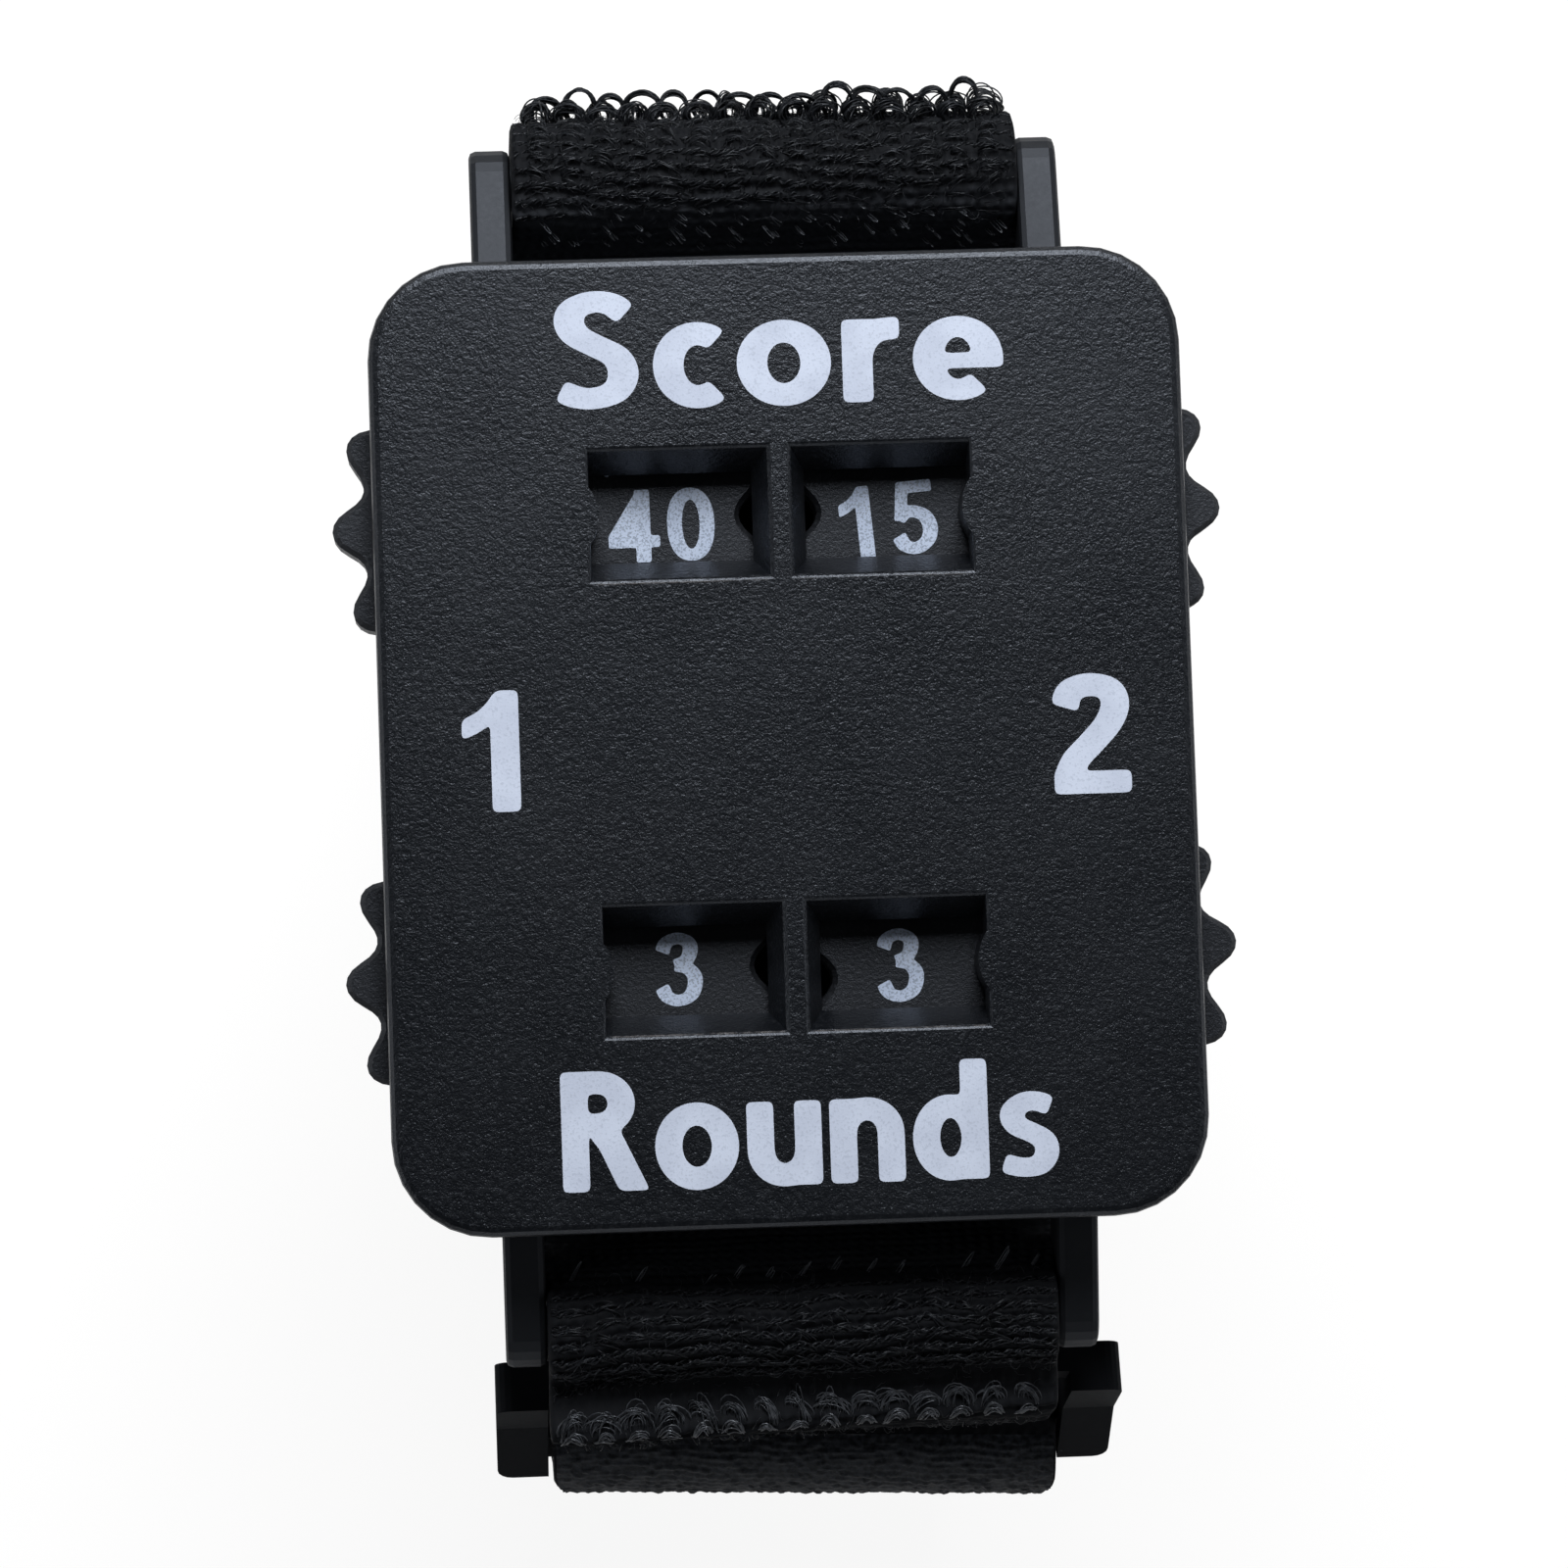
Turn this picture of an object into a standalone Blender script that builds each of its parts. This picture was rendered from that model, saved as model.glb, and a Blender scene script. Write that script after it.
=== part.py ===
# Wrist score counter: a flat case with four numbered thumb wheels, worn on a hook-and-loop strap.
# The display faces +Z, its top is towards +Y, and the closed strap stands on Z = 0 under the case.
import math

import bmesh
import bpy
from mathutils import Vector

# Case, in metres
case_width = 0.0410
case_corner = 0.0049
end_room = 0.00063
wall = 0.0014
floor = 0.0014
cover_plate = 0.0022
cover_edge_round = 0.0005
back_edge_round = 0.0010

# Gaps and the overrun of cutting tools
seat_gap = 0.0003
running_gap = 0.0003
overrun = 0.0008
weld_distance = 0.000005

# Thumb wheels on their posts
wheel_stand_out = 0.00207
wheel_gap_across = 0.00106
wheel_gap_along = 0.00086
lobe_depth = 0.00145
lobe_count = 15
lobe_steps = 12
lobe_roundness = 0.3
wheel_thickness = 0.0026
wheel_edge_round = 0.00025
wheel_recess = 0.0013
rim_width = 0.0016
hub_radius = 0.0033
hub_drop = 0.0005
post_radius = 0.0015
post_pad = 0.0002
boss_radius = 0.0024
boss_drop = 0.0004
wheels = [
    ("upper_wheel_left", -1, 1, 0.8),
    ("upper_wheel_right", 1, 1, -0.9),
    ("lower_wheel_left", -1, -1, 0.8),
    ("lower_wheel_right", 1, -1, 3.3),
]

# Wavy spring washers that hold each wheel where it is put
washer_room = 0.0013
washer_width = 0.0013
washer_thickness = 0.0003
washer_waves = 3

# Windows in the cover, sloped on three sides and upright towards the wheel's axis
window_to_axis = 0.00195
window_length = 0.0066
window_divider = 0.0011
window_slope = 0.00105
window_inner_share = 0.75
window_edge_round = 0.00015

# Screws from the back, and the pads and bosses that they join
screw_shank_radius = 0.0006
screw_head_radius = 0.0013
screw_head_height = 0.0008
screw_head_sink = 0.00015
screw_pad_radius = 0.0020
screw_pad_height = 0.0008
screw_tip_room = 0.00055
pilot_roof = 0.0008
rib_length = 0.0090
rib_width = 0.0008
rib_height = 0.0010

# Strap lugs moulded on the back case
lug_side_gap = 0.0003
lug_arm_width = 0.0021
lug_bar_reach = 0.0049
lug_bar_height = 0.0019
lug_bar_radius = 0.0013
lug_tip_radius = 0.0018
lug_root_height = 0.0049
lug_root_under = 0.0007
lug_edge_round = 0.00035

# Strap webbing and the wrist that it goes round
strap_width = 0.0254
strap_thickness = 0.0018
hook_thickness = 0.0010
hook_length = 0.0560
hook_inset = 0.0006
wrist_height = 0.0380
wrist_past_lugs = 0.0017
wrist_corner = 0.0191
tail_reach = 0.0160
lap_reach = 0.0120
lap_bend_back = 0.0104
lap_bend_radius = 0.0060

# Cinch ring
ring_side_gap = 0.0008
ring_shift = 0.0005
ring_reach = 0.0085
ring_bar_width = 0.0019
ring_thickness = 0.0016
ring_end_more = 0.0011
ring_side = 0.0027
ring_corner = 0.0008
ring_edge_round = 0.00035
ring_out = 0.0026
ring_drop = 0.0030
ring_lean = math.radians(22)
ring_crease = math.radians(10)
ring_play = 0.0004

# The wheels fill the case from side to side, and set its length and where the lugs are
wheel_tip_radius = (case_width / 2 + wheel_stand_out - wheel_gap_across / 2) / 2
wheel_x = wheel_tip_radius + wheel_gap_across / 2
wheel_y = wheel_tip_radius + wheel_gap_along / 2
case_length = 2 * (wheel_y + wheel_tip_radius + end_room + wall)
lug_bar_y = case_length / 2 + lug_bar_reach
wrist_width = 2 * (lug_bar_y + wrist_past_lugs)

# The strap sets how wide the lugs and the ring are
lug_gap = strap_width + 2 * lug_side_gap
ring_width = strap_width + 2 * (ring_side_gap + ring_side)

# Heights over the back of the case
pad_top = floor + post_pad
hub_under = pad_top + washer_room
wheel_under = hub_under + hub_drop
wheel_top = wheel_under + wheel_thickness
cover_under = wheel_top + running_gap + boss_drop
tray_top = cover_under - seat_gap
case_height = cover_under + cover_plate
washer_height = (hub_under + pad_top) / 2
washer_wave = (hub_under - pad_top - washer_thickness) / 2 - seat_gap
screw_pad_top = floor + screw_pad_height
screw_head_top = screw_head_sink + screw_head_height
pilot_top = cover_under - pilot_roof

# The side screws' bosses just fit between two wheels and the side wall, the others inside the ribs
boss_limit = case_width / 2 - wall - seat_gap
wheel_limit = wheel_tip_radius + running_gap
limits = wheel_limit + boss_limit
screw_x = (limits ** 2 - wheel_x ** 2 - wheel_y ** 2) / (2 * (limits - wheel_x))
screw_boss_radius = boss_limit - screw_x
rib_y = case_length / 2 - wall - seat_gap - rib_width / 2
screw_y = rib_y - rib_width / 2 - screw_pad_radius
screw_spots = [(screw_x, 0), (-screw_x, 0), (0, screw_y), (0, -screw_y)]

# Layers of the strap, from the surface that it stands on up to the case
layer_step = strap_thickness + seat_gap
tail_height = strap_thickness / 2
band_height = tail_height + strap_thickness + hook_thickness + 2 * seat_gap
lap_height = band_height + strap_thickness + wrist_height
under_height = lap_height + layer_step
case_base = under_height + strap_thickness / 2 + seat_gap

# Ring bars, and how far the webbing bends round each thing that it passes
ring_pivot = (-lug_bar_y - ring_out, case_base - ring_drop)
ring_bar_radius = math.hypot(ring_bar_width, ring_thickness) / 2
half_strap = strap_thickness / 2
bar_bend = ring_bar_radius + seat_gap + half_strap
lug_bend = lug_bar_radius + seat_gap + half_strap
edge_bend = back_edge_round + seat_gap + half_strap
wrist_bend = wrist_corner + half_strap


def make_collection(name):
    collection = bpy.data.collections.new(name)
    bpy.context.scene.collection.children.link(collection)
    return collection


for thing in list(bpy.data.objects):
    bpy.data.objects.remove(thing, do_unlink=True)
parts = make_collection("wrist_score_counter")
tools = make_collection("cutters")


def make_material(name, colour, roughness, metallic=0.0):
    material = bpy.data.materials.new(name)
    material.use_nodes = True
    shader = material.node_tree.nodes["Principled BSDF"]
    shader.inputs["Base Color"].default_value = (*colour, 1)
    shader.inputs["Roughness"].default_value = roughness
    shader.inputs["Metallic"].default_value = metallic
    return material


black_plastic = make_material("black_plastic", (0.012, 0.013, 0.016), 0.55)
wheel_plastic = make_material("wheel_plastic", (0.010, 0.010, 0.012), 0.50)
ring_plastic = make_material("ring_plastic", (0.010, 0.011, 0.013), 0.40)
webbing = make_material("webbing", (0.006, 0.006, 0.008), 0.90)
hook_tape = make_material("hook_tape", (0.008, 0.008, 0.010), 0.70)
steel = make_material("steel", (0.45, 0.45, 0.46), 0.35, 1.0)


def add_object(name, mesh, material=None, parent=None, place=(0, 0, 0)):
    # With a material it is a piece of the counter, without one it is a shape that cuts or joins
    thing = bpy.data.objects.new(name, mesh)
    if material:
        mesh.materials.append(material)
        parts.objects.link(thing)
    else:
        tools.objects.link(thing)
        thing.hide_render = True
        thing.display_type = "WIRE"
    thing.parent = parent
    thing.location = place
    return thing


def finish_mesh(name, shape):
    bmesh.ops.remove_doubles(shape, verts=shape.verts, dist=weld_distance)
    bmesh.ops.recalc_face_normals(shape, faces=shape.faces)
    mesh = bpy.data.meshes.new(name)
    shape.to_mesh(mesh)
    shape.free()
    return mesh


def arc_points(centre, radius, start, end, steps):
    angles = [start + (end - start) * step / steps for step in range(steps + 1)]
    return [(centre[0] + radius * math.cos(a), centre[1] + radius * math.sin(a)) for a in angles]


def circle_outline(radius, centre=(0, 0), steps=24):
    return arc_points(centre, radius, 0, 2 * math.pi, steps)[:-1]


def rounded_outline(width, length, radius, centre=(0, 0), steps=7):
    outline = []
    for corner, (side, end) in enumerate([(1, 1), (-1, 1), (-1, -1), (1, -1)]):
        middle = (centre[0] + side * (width / 2 - radius), centre[1] + end * (length / 2 - radius))
        start = corner * math.pi / 2
        outline += arc_points(middle, radius, start, start + math.pi / 2, steps)
    return outline


def plate_mesh(name, outlines, low, high):
    # Flat outlines, the first one solid and the others holes in it, drawn as a filled curve
    curve = bpy.data.curves.new(name, "CURVE")
    curve.dimensions = "2D"
    curve.fill_mode = "BOTH"
    curve.extrude = (high - low) / 2
    for outline in outlines:
        spline = curve.splines.new("POLY")
        spline.points.add(len(outline) - 1)
        spline.use_cyclic_u = True
        for point, (x, y) in zip(spline.points, outline):
            point.co = (x, y, 0, 1)
    guide = bpy.data.objects.new(name, curve)
    tools.objects.link(guide)
    bpy.context.view_layer.update()
    solid = guide.evaluated_get(bpy.context.evaluated_depsgraph_get())
    shape = bmesh.new()
    shape.from_mesh(bpy.data.meshes.new_from_object(solid))
    bmesh.ops.translate(shape, verts=shape.verts, vec=(0, 0, (low + high) / 2))
    bpy.data.objects.remove(guide, do_unlink=True)
    bmesh.ops.remove_doubles(shape, verts=shape.verts, dist=weld_distance)
    bmesh.ops.dissolve_limit(shape, angle_limit=math.radians(0.5), verts=shape.verts, edges=shape.edges)
    return finish_mesh(name, shape)


def loft_mesh(name, rings):
    # A solid through rings with the same number of points, closed by a face at each end
    shape = bmesh.new()
    loops = [[shape.verts.new(point) for point in ring] for ring in rings]
    for lower, upper in zip(loops, loops[1:]):
        for index in range(len(lower)):
            shape.faces.new((lower[index - 1], lower[index], upper[index], upper[index - 1]))
    shape.faces.new(loops[0])
    shape.faces.new(loops[-1])
    return finish_mesh(name, shape)


def join_meshes(name, meshes, places):
    # Several loose solids in one shape, which all cut or join together
    shape = bmesh.new()
    for mesh, place in zip(meshes, places):
        known = len(shape.verts)
        shape.from_mesh(mesh)
        shape.verts.ensure_lookup_table()
        bmesh.ops.translate(shape, verts=shape.verts[known:], vec=place)
    return finish_mesh(name, shape)


def apply_tool(thing, tool, operation):
    tool.parent = thing
    boolean = thing.modifiers.new(operation.lower(), "BOOLEAN")
    boolean.operation = operation
    boolean.object = tool
    boolean.solver = "EXACT"


def bevel_sharp(thing, width, segments=2, angle=50):
    bevel = thing.modifiers.new("rounded_edges", "BEVEL")
    bevel.width = width
    bevel.segments = segments
    bevel.limit_method = "ANGLE"
    bevel.angle_limit = math.radians(angle)


def bevel_level(thing, height, width, segments=3):
    # Rounds only the edges that lie flat at one height
    shape = bmesh.new()
    shape.from_mesh(thing.data)
    weights = shape.edges.layers.float.new("bevel_weight_edge")
    for edge in shape.edges:
        away = max(abs(corner.co.z - height) for corner in edge.verts)
        edge[weights] = float(away < weld_distance and edge.calc_face_angle() > 1)
    shape.to_mesh(thing.data)
    shape.free()
    bevel = thing.modifiers.new("rounded_edges", "BEVEL")
    bevel.width = width
    bevel.segments = segments
    bevel.limit_method = "WEIGHT"


def shade(thing, angle=35):
    thing.data.shade_smooth()
    thing.data.set_sharp_from_angle(angle=math.radians(angle))


def round_tool(name, levels, spots, steps=24):
    # Round columns, one at each spot, through radii and heights from the bottom up
    rings = [[Vector((*point, height)) for point in circle_outline(radius, steps=steps)]
             for radius, height in levels]
    places = [(x, y, 0) for x, y in spots]
    return add_object(name, join_meshes(name, [loft_mesh(name, rings)] * len(spots), places))


wheel_spots = [(side * wheel_x, end * wheel_y) for _, side, end, _ in wheels]


def window_tool():
    # Each opening narrows from the cover's face down, and follows the wheel's pivot boss
    near = window_divider / 2
    far = wheel_x - window_to_axis
    half = window_length / 2
    spread = window_slope / cover_plate
    below = window_slope + spread * overrun
    levels = [
        (cover_under - overrun, below),
        (case_height - window_edge_round, spread * window_edge_round),
        (case_height - window_edge_round / 3, -window_edge_round / 4),
        (case_height, -window_edge_round),
        (case_height + overrun, -window_edge_round),
    ]
    meshes = []
    for side in (1, -1):
        rings = []
        for height, inset in levels:
            outer = far - min(inset, 0)
            inner = near + inset * (window_inner_share if inset > 0 else 1)
            xs = (side * inner, side * outer, side * outer, side * inner)
            ys = (inset - half, inset - half, half - inset, half - inset)
            rings.append([Vector((x, y, height)) for x, y in zip(xs, ys)])
        meshes.append(loft_mesh("window", rings))
    spots = [(0, wheel_y, 0), (0, wheel_y, 0), (0, -wheel_y, 0), (0, -wheel_y, 0)]
    tool = add_object("window_cutter", join_meshes("window_cutter", meshes * 2, spots))
    low = cover_under - 2 * overrun
    high = case_height + 2 * overrun
    bosses = round_tool("boss_keep", [(boss_radius, low), (boss_radius, high)], wheel_spots, 48)
    apply_tool(tool, bosses, "DIFFERENCE")
    return tool


def make_front_cover(frame):
    outline = rounded_outline(case_width, case_length, case_corner)
    mesh = plate_mesh("front_cover", [outline], cover_under, case_height)
    cover = add_object("front_cover", mesh, black_plastic, frame)
    bevel_level(cover, case_height, cover_edge_round)
    apply_tool(cover, window_tool(), "DIFFERENCE")
    joined = cover_under + overrun
    levels = [(boss_radius, cover_under - boss_drop), (boss_radius, joined)]
    apply_tool(cover, round_tool("pivot_bosses", levels, wheel_spots, 48), "UNION")
    low = screw_pad_top + seat_gap
    levels = [(screw_boss_radius, low), (screw_boss_radius, joined)]
    apply_tool(cover, round_tool("screw_bosses", levels, screw_spots), "UNION")
    rib = rounded_outline(rib_length, rib_width, rib_width / 4, steps=2)
    mesh = plate_mesh("rib", [rib], cover_under - rib_height, joined)
    ribs = join_meshes("locating_ribs", [mesh, mesh], [(0, rib_y, 0), (0, -rib_y, 0)])
    apply_tool(cover, add_object("locating_ribs", ribs), "UNION")
    hole = screw_shank_radius + seat_gap
    levels = [(hole, low - overrun), (hole, pilot_top)]
    apply_tool(cover, round_tool("pilot_holes", levels, screw_spots, 16), "DIFFERENCE")
    shade(cover)
    return cover


def make_side_mesh(name, outline, low, high):
    # A side view in Y and Z, extruded across X
    mesh = plate_mesh(name, [outline], low, high)
    for corner in mesh.vertices:
        y, z, x = corner.co
        corner.co = (x, y, z)
    return mesh


def make_lugs():
    # At each end two arms that taper to a round tip, with the strap's bar between them
    root_y = case_length / 2 - wall / 2
    tip = (lug_bar_y, lug_bar_height)
    outline = [(root_y, lug_root_under)]
    outline += arc_points(tip, lug_tip_radius, -math.pi / 2, math.radians(75), 9)
    outline += [(case_length / 2, lug_root_height), (root_y, lug_root_height)]
    inner = lug_gap / 2
    arms = []
    for side in (1, -1):
        low, high = sorted((side * inner, side * (inner + lug_arm_width)))
        arms.append(make_side_mesh("arm", outline, low, high))
    mesh = join_meshes("lug_arms", arms, [(0, 0, 0)] * 2)
    shape = bmesh.new()
    shape.from_mesh(mesh)
    turned = shape.copy()
    bmesh.ops.scale(turned, verts=turned.verts, vec=(1, -1, 1))
    arms_back = finish_mesh("lug_arms_back", turned)
    arms_front = finish_mesh("lug_arms_front", shape)
    lugs = add_object("lug_arms", join_meshes("lug_arms", [arms_front, arms_back], [(0, 0, 0)] * 2))
    bevel_sharp(lugs, lug_edge_round)
    reach = inner + lug_arm_width / 2
    bars = []
    for end in (1, -1):
        ring = circle_outline(lug_bar_radius, (end * lug_bar_y, lug_bar_height), 20)
        bars.append(make_side_mesh("bar", ring, -reach, reach))
    return lugs, add_object("lug_bars", join_meshes("lug_bars", bars, [(0, 0, 0)] * 2))


def slot_tool():
    # Each wheel stands out through a cut in the side wall, open to the cover
    inner = case_width / 2 - wall
    reach = wheel_tip_radius + running_gap
    half = math.sqrt(reach ** 2 - (inner - wheel_x) ** 2)
    low = wheel_under - running_gap
    meshes = []
    places = []
    for _, side, end, _ in wheels:
        box = rounded_outline(wall + 2 * overrun, 2 * half, overrun / 4, steps=1)
        meshes.append(plate_mesh("slot", [box], low, tray_top + overrun))
        places.append((side * (inner + wall / 2), end * wheel_y, 0))
    return add_object("wheel_slots", join_meshes("wheel_slots", meshes, places))


def make_back_case(frame):
    outline = rounded_outline(case_width, case_length, case_corner)
    case = add_object("back_case", plate_mesh("back_case", [outline], 0, tray_top), black_plastic, frame)
    bevel_level(case, 0, back_edge_round)
    inside = rounded_outline(case_width - 2 * wall, case_length - 2 * wall, case_corner - wall)
    cavity = plate_mesh("cavity", [inside], floor, tray_top + overrun)
    apply_tool(case, add_object("cavity", cavity), "DIFFERENCE")
    apply_tool(case, slot_tool(), "DIFFERENCE")
    sunk = floor / 2
    levels = [(hub_radius, sunk), (hub_radius, pad_top), (post_radius, pad_top), (post_radius, wheel_top)]
    apply_tool(case, round_tool("posts", levels, wheel_spots), "UNION")
    levels = [(screw_pad_radius, sunk), (screw_pad_radius, screw_pad_top)]
    apply_tool(case, round_tool("screw_pads", levels, screw_spots), "UNION")
    for tool in make_lugs():
        apply_tool(case, tool, "UNION")
    hole = screw_shank_radius + seat_gap
    seat = screw_head_radius + seat_gap
    ceiling = screw_head_top + seat_gap
    levels = [(seat, -overrun), (seat, ceiling), (hole, ceiling), (hole, screw_pad_top + overrun)]
    apply_tool(case, round_tool("screw_holes", levels, screw_spots, 20), "DIFFERENCE")
    shade(case)
    return case


def make_wheel(name, side, end, turn, frame):
    outline = []
    steps = lobe_count * lobe_steps
    for step in range(steps):
        angle = 2 * math.pi * step / steps
        wave = math.cos(lobe_count * angle)
        rounded = wave * (1 + lobe_roundness) / (1 + lobe_roundness * abs(wave))
        radius = wheel_tip_radius - lobe_depth * (1 - rounded) / 2
        outline.append((radius * math.cos(angle), radius * math.sin(angle)))
    mesh = plate_mesh(name, [outline], wheel_under, wheel_top)
    wheel = add_object(name, mesh, wheel_plastic, frame, (side * wheel_x, end * wheel_y, 0))
    wheel.rotation_euler.z = math.radians(turn) + math.pi * (side < 0)
    bevel_sharp(wheel, wheel_edge_round, segments=1)
    outer = wheel_tip_radius - lobe_depth - rim_width
    groove = [circle_outline(outer, steps=32), circle_outline(hub_radius - wheel_edge_round)]
    low = wheel_under - overrun
    recess = plate_mesh("recess", groove, low, wheel_under + wheel_recess)
    apply_tool(wheel, add_object(name + "_recess", recess), "DIFFERENCE")
    levels = [(hub_radius, hub_under), (hub_radius, wheel_top - overrun)]
    apply_tool(wheel, round_tool(name + "_hub", levels, [(0, 0)], 30), "UNION")
    bore = post_radius + running_gap
    levels = [(bore, hub_under - overrun), (bore, wheel_top + overrun)]
    apply_tool(wheel, round_tool(name + "_bore", levels, [(0, 0)]), "DIFFERENCE")
    shade(wheel)
    return wheel


def make_washer(name, side, end, frame):
    inner = post_radius + seat_gap
    steps = washer_waves * 12
    shape = bmesh.new()
    loops = []
    for radius in (inner, inner + washer_width):
        loop = [shape.verts.new((*point, 0)) for point in circle_outline(radius, steps=steps)]
        loops.append(loop)
    for index in range(steps):
        last = index - 1
        shape.faces.new((loops[0][last], loops[1][last], loops[1][index], loops[0][index]))
    for corner in shape.verts:
        angle = math.atan2(corner.co.y, corner.co.x)
        corner.co.z = washer_wave * math.sin(washer_waves * angle)
    place = (side * wheel_x, end * wheel_y, washer_height)
    washer = add_object(name, finish_mesh(name, shape), steel, frame, place)
    solid = washer.modifiers.new("thickness", "SOLIDIFY")
    solid.thickness = washer_thickness
    solid.offset = 0
    shade(washer)
    return washer


def make_screw(name, spot, frame):
    # A pan head in its seat under the floor, with the shank up into the cover's boss
    tip = pilot_top - screw_tip_room
    rise = screw_head_height / 3
    edge = screw_head_radius * math.cos(math.radians(30))
    profile = [
        (0, tip),
        (screw_shank_radius / 2, tip),
        (screw_shank_radius, tip - screw_shank_radius),
        (screw_shank_radius, screw_head_top),
        (screw_head_radius, screw_head_top),
        (screw_head_radius, screw_head_sink + rise),
        (edge, screw_head_sink),
        (0, screw_head_sink),
    ]
    shape = bmesh.new()
    corners = [shape.verts.new((radius, 0, height)) for radius, height in profile]
    for upper, lower in zip(corners, corners[1:]):
        shape.edges.new((upper, lower))
    mesh = bpy.data.meshes.new(name)
    shape.to_mesh(mesh)
    shape.free()
    screw = add_object(name, mesh, steel, frame, (*spot, 0))
    turned = screw.modifiers.new("turned", "SCREW")
    turned.steps = 20
    turned.render_steps = 20
    turned.use_merge_vertices = True
    turned.merge_threshold = weld_distance
    shade(screw)
    return screw


def belt_points(stops):
    # The middle of a band pulled round circles: each stop is a centre, a radius and a turn,
    # with 1 for anticlockwise, -1 for clockwise and 0 for a plain end point
    headings = []
    for (y1, z1, r1, turn1), (y2, z2, r2, turn2) in zip(stops, stops[1:]):
        span = math.hypot(y2 - y1, z2 - z1)
        slip = math.asin((turn2 * r2 - turn1 * r1) / span)
        headings.append(math.atan2(z2 - z1, y2 - y1) - slip)
    points = [Vector((0, stops[0][0], stops[0][1]))]
    for (y, z, radius, turn), before, after in zip(stops[1:-1], headings, headings[1:]):
        sweep = turn * ((turn * (after - before)) % (2 * math.pi))
        steps = max(3, math.ceil(abs(sweep) / math.radians(5 if radius > wrist_corner else 15)))
        for step in range(steps + 1):
            heading = before + sweep * step / steps
            offset = Vector((0, math.sin(heading), -math.cos(heading))) * radius * turn
            points.append(Vector((0, y, z)) + offset)
    points.append(Vector((0, stops[-1][0], stops[-1][1])))
    return points


def ring_point(distance):
    y, z = ring_pivot
    return y - distance * math.sin(ring_lean), z - distance * math.cos(ring_lean)


def strap_stops():
    # From the sewn lap under the case, round the ring, the lugs and the wrist, to the tail
    edge_y = case_length / 2 - back_edge_round
    edge_z = case_base + back_edge_round
    bar_z = case_base + lug_bar_height
    side = wrist_width / 2 - wrist_corner
    corner_z = band_height + wrist_bend
    outer_bend = wrist_bend + band_height - tail_height
    loose = ring_point(ring_reach + ring_play)
    return [
        (-lap_reach, lap_height, 0, 0),
        (lap_bend_back - lug_bar_y, lap_height - lap_bend_radius, lap_bend_radius, 1),
        (*ring_pivot, bar_bend, -1),
        (-lug_bar_y, bar_z, lug_bend, -1),
        (-edge_y, edge_z, edge_bend, 1),
        (edge_y, edge_z, edge_bend, 1),
        (lug_bar_y, bar_z, lug_bend, -1),
        (side, corner_z, wrist_bend, -1),
        (-side, corner_z, wrist_bend, -1),
        (*loose, bar_bend + ring_play, 1),
        (-side, corner_z, outer_bend, 1),
        (tail_reach, tail_height, 0, 0),
    ]


def make_band(name, path, width, thickness, material, root):
    # A ribbon along the path, as wide as the webbing, thickened to both sides
    shape = bmesh.new()
    rows = []
    for point in path:
        across = Vector((width / 2, 0, 0))
        rows.append((shape.verts.new(point - across), shape.verts.new(point + across)))
    for (left, right), (next_left, next_right) in zip(rows, rows[1:]):
        shape.faces.new((left, right, next_right, next_left))
    band = add_object(name, finish_mesh(name, shape), material, root)
    solid = band.modifiers.new("thickness", "SOLIDIFY")
    solid.thickness = thickness
    solid.offset = 0
    solid.use_even_offset = True
    shade(band, 40)
    return band


def hook_path(path):
    # The hook tape lies on the inner face of the tail, back from the tail's end
    offset = half_strap + seat_gap + hook_thickness / 2
    side = []
    travelled = 0
    for index in range(len(path) - 1, 0, -1):
        run = path[index - 1] - path[index]
        inward = Vector((0, run.z, -run.y)).normalized() * offset
        if index == len(path) - 1:
            side.append(path[index] + inward + run.normalized() * hook_inset)
        elif travelled < hook_length:
            side.append(path[index] + inward)
        travelled += run.length
    return side


def make_ring(root):
    # A flat rectangular loop, thicker outwards past the webbing, and folded a little halfway between its bars
    middle = (0, -ring_reach / 2)
    length = ring_reach + ring_bar_width
    opening = (ring_width - 2 * ring_side, ring_reach - ring_bar_width)
    outer = rounded_outline(ring_width, length, ring_corner, middle, 4)
    inner = rounded_outline(*opening, ring_corner / 2, middle, 3)
    top = ring_thickness / 2
    mesh = plate_mesh("cinch_ring", [outer, inner], -top, top)
    shape = bmesh.new()
    shape.from_mesh(mesh)
    end = opening[0] / 2
    for point, normal in [((end, 0, 0), (1, 0, 0)), ((-end, 0, 0), (1, 0, 0)), ((*middle, 0), (0, 1, 0))]:
        cut = shape.verts[:] + shape.edges[:] + shape.faces[:]
        bmesh.ops.bisect_plane(shape, geom=cut, dist=weld_distance, plane_co=point, plane_no=normal)
    outward = [face for face in shape.faces if face.calc_center_median().z > top - weld_distance]
    raised = [face for face in outward if abs(face.calc_center_median().x) > end]
    for part in bmesh.ops.extrude_face_region(shape, geom=raised)["geom"]:
        if isinstance(part, bmesh.types.BMVert):
            part.co.z += ring_end_more
    bmesh.ops.delete(shape, geom=raised, context="FACES_ONLY")
    for corner in shape.verts:
        away = abs(corner.co.y - middle[1]) - ring_reach / 2
        corner.co.z += away * math.tan(ring_crease)
    place = (ring_shift, *ring_pivot)
    ring = add_object("cinch_ring", finish_mesh("cinch_ring", shape), ring_plastic, root, place)
    ring.rotation_euler.x = math.pi / 2 - ring_lean
    bevel_sharp(ring, ring_edge_round)
    shade(ring)
    return ring


def make_frame(name, height):
    frame = bpy.data.objects.new(name, None)
    parts.objects.link(frame)
    frame.location.z = height
    return frame


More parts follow.
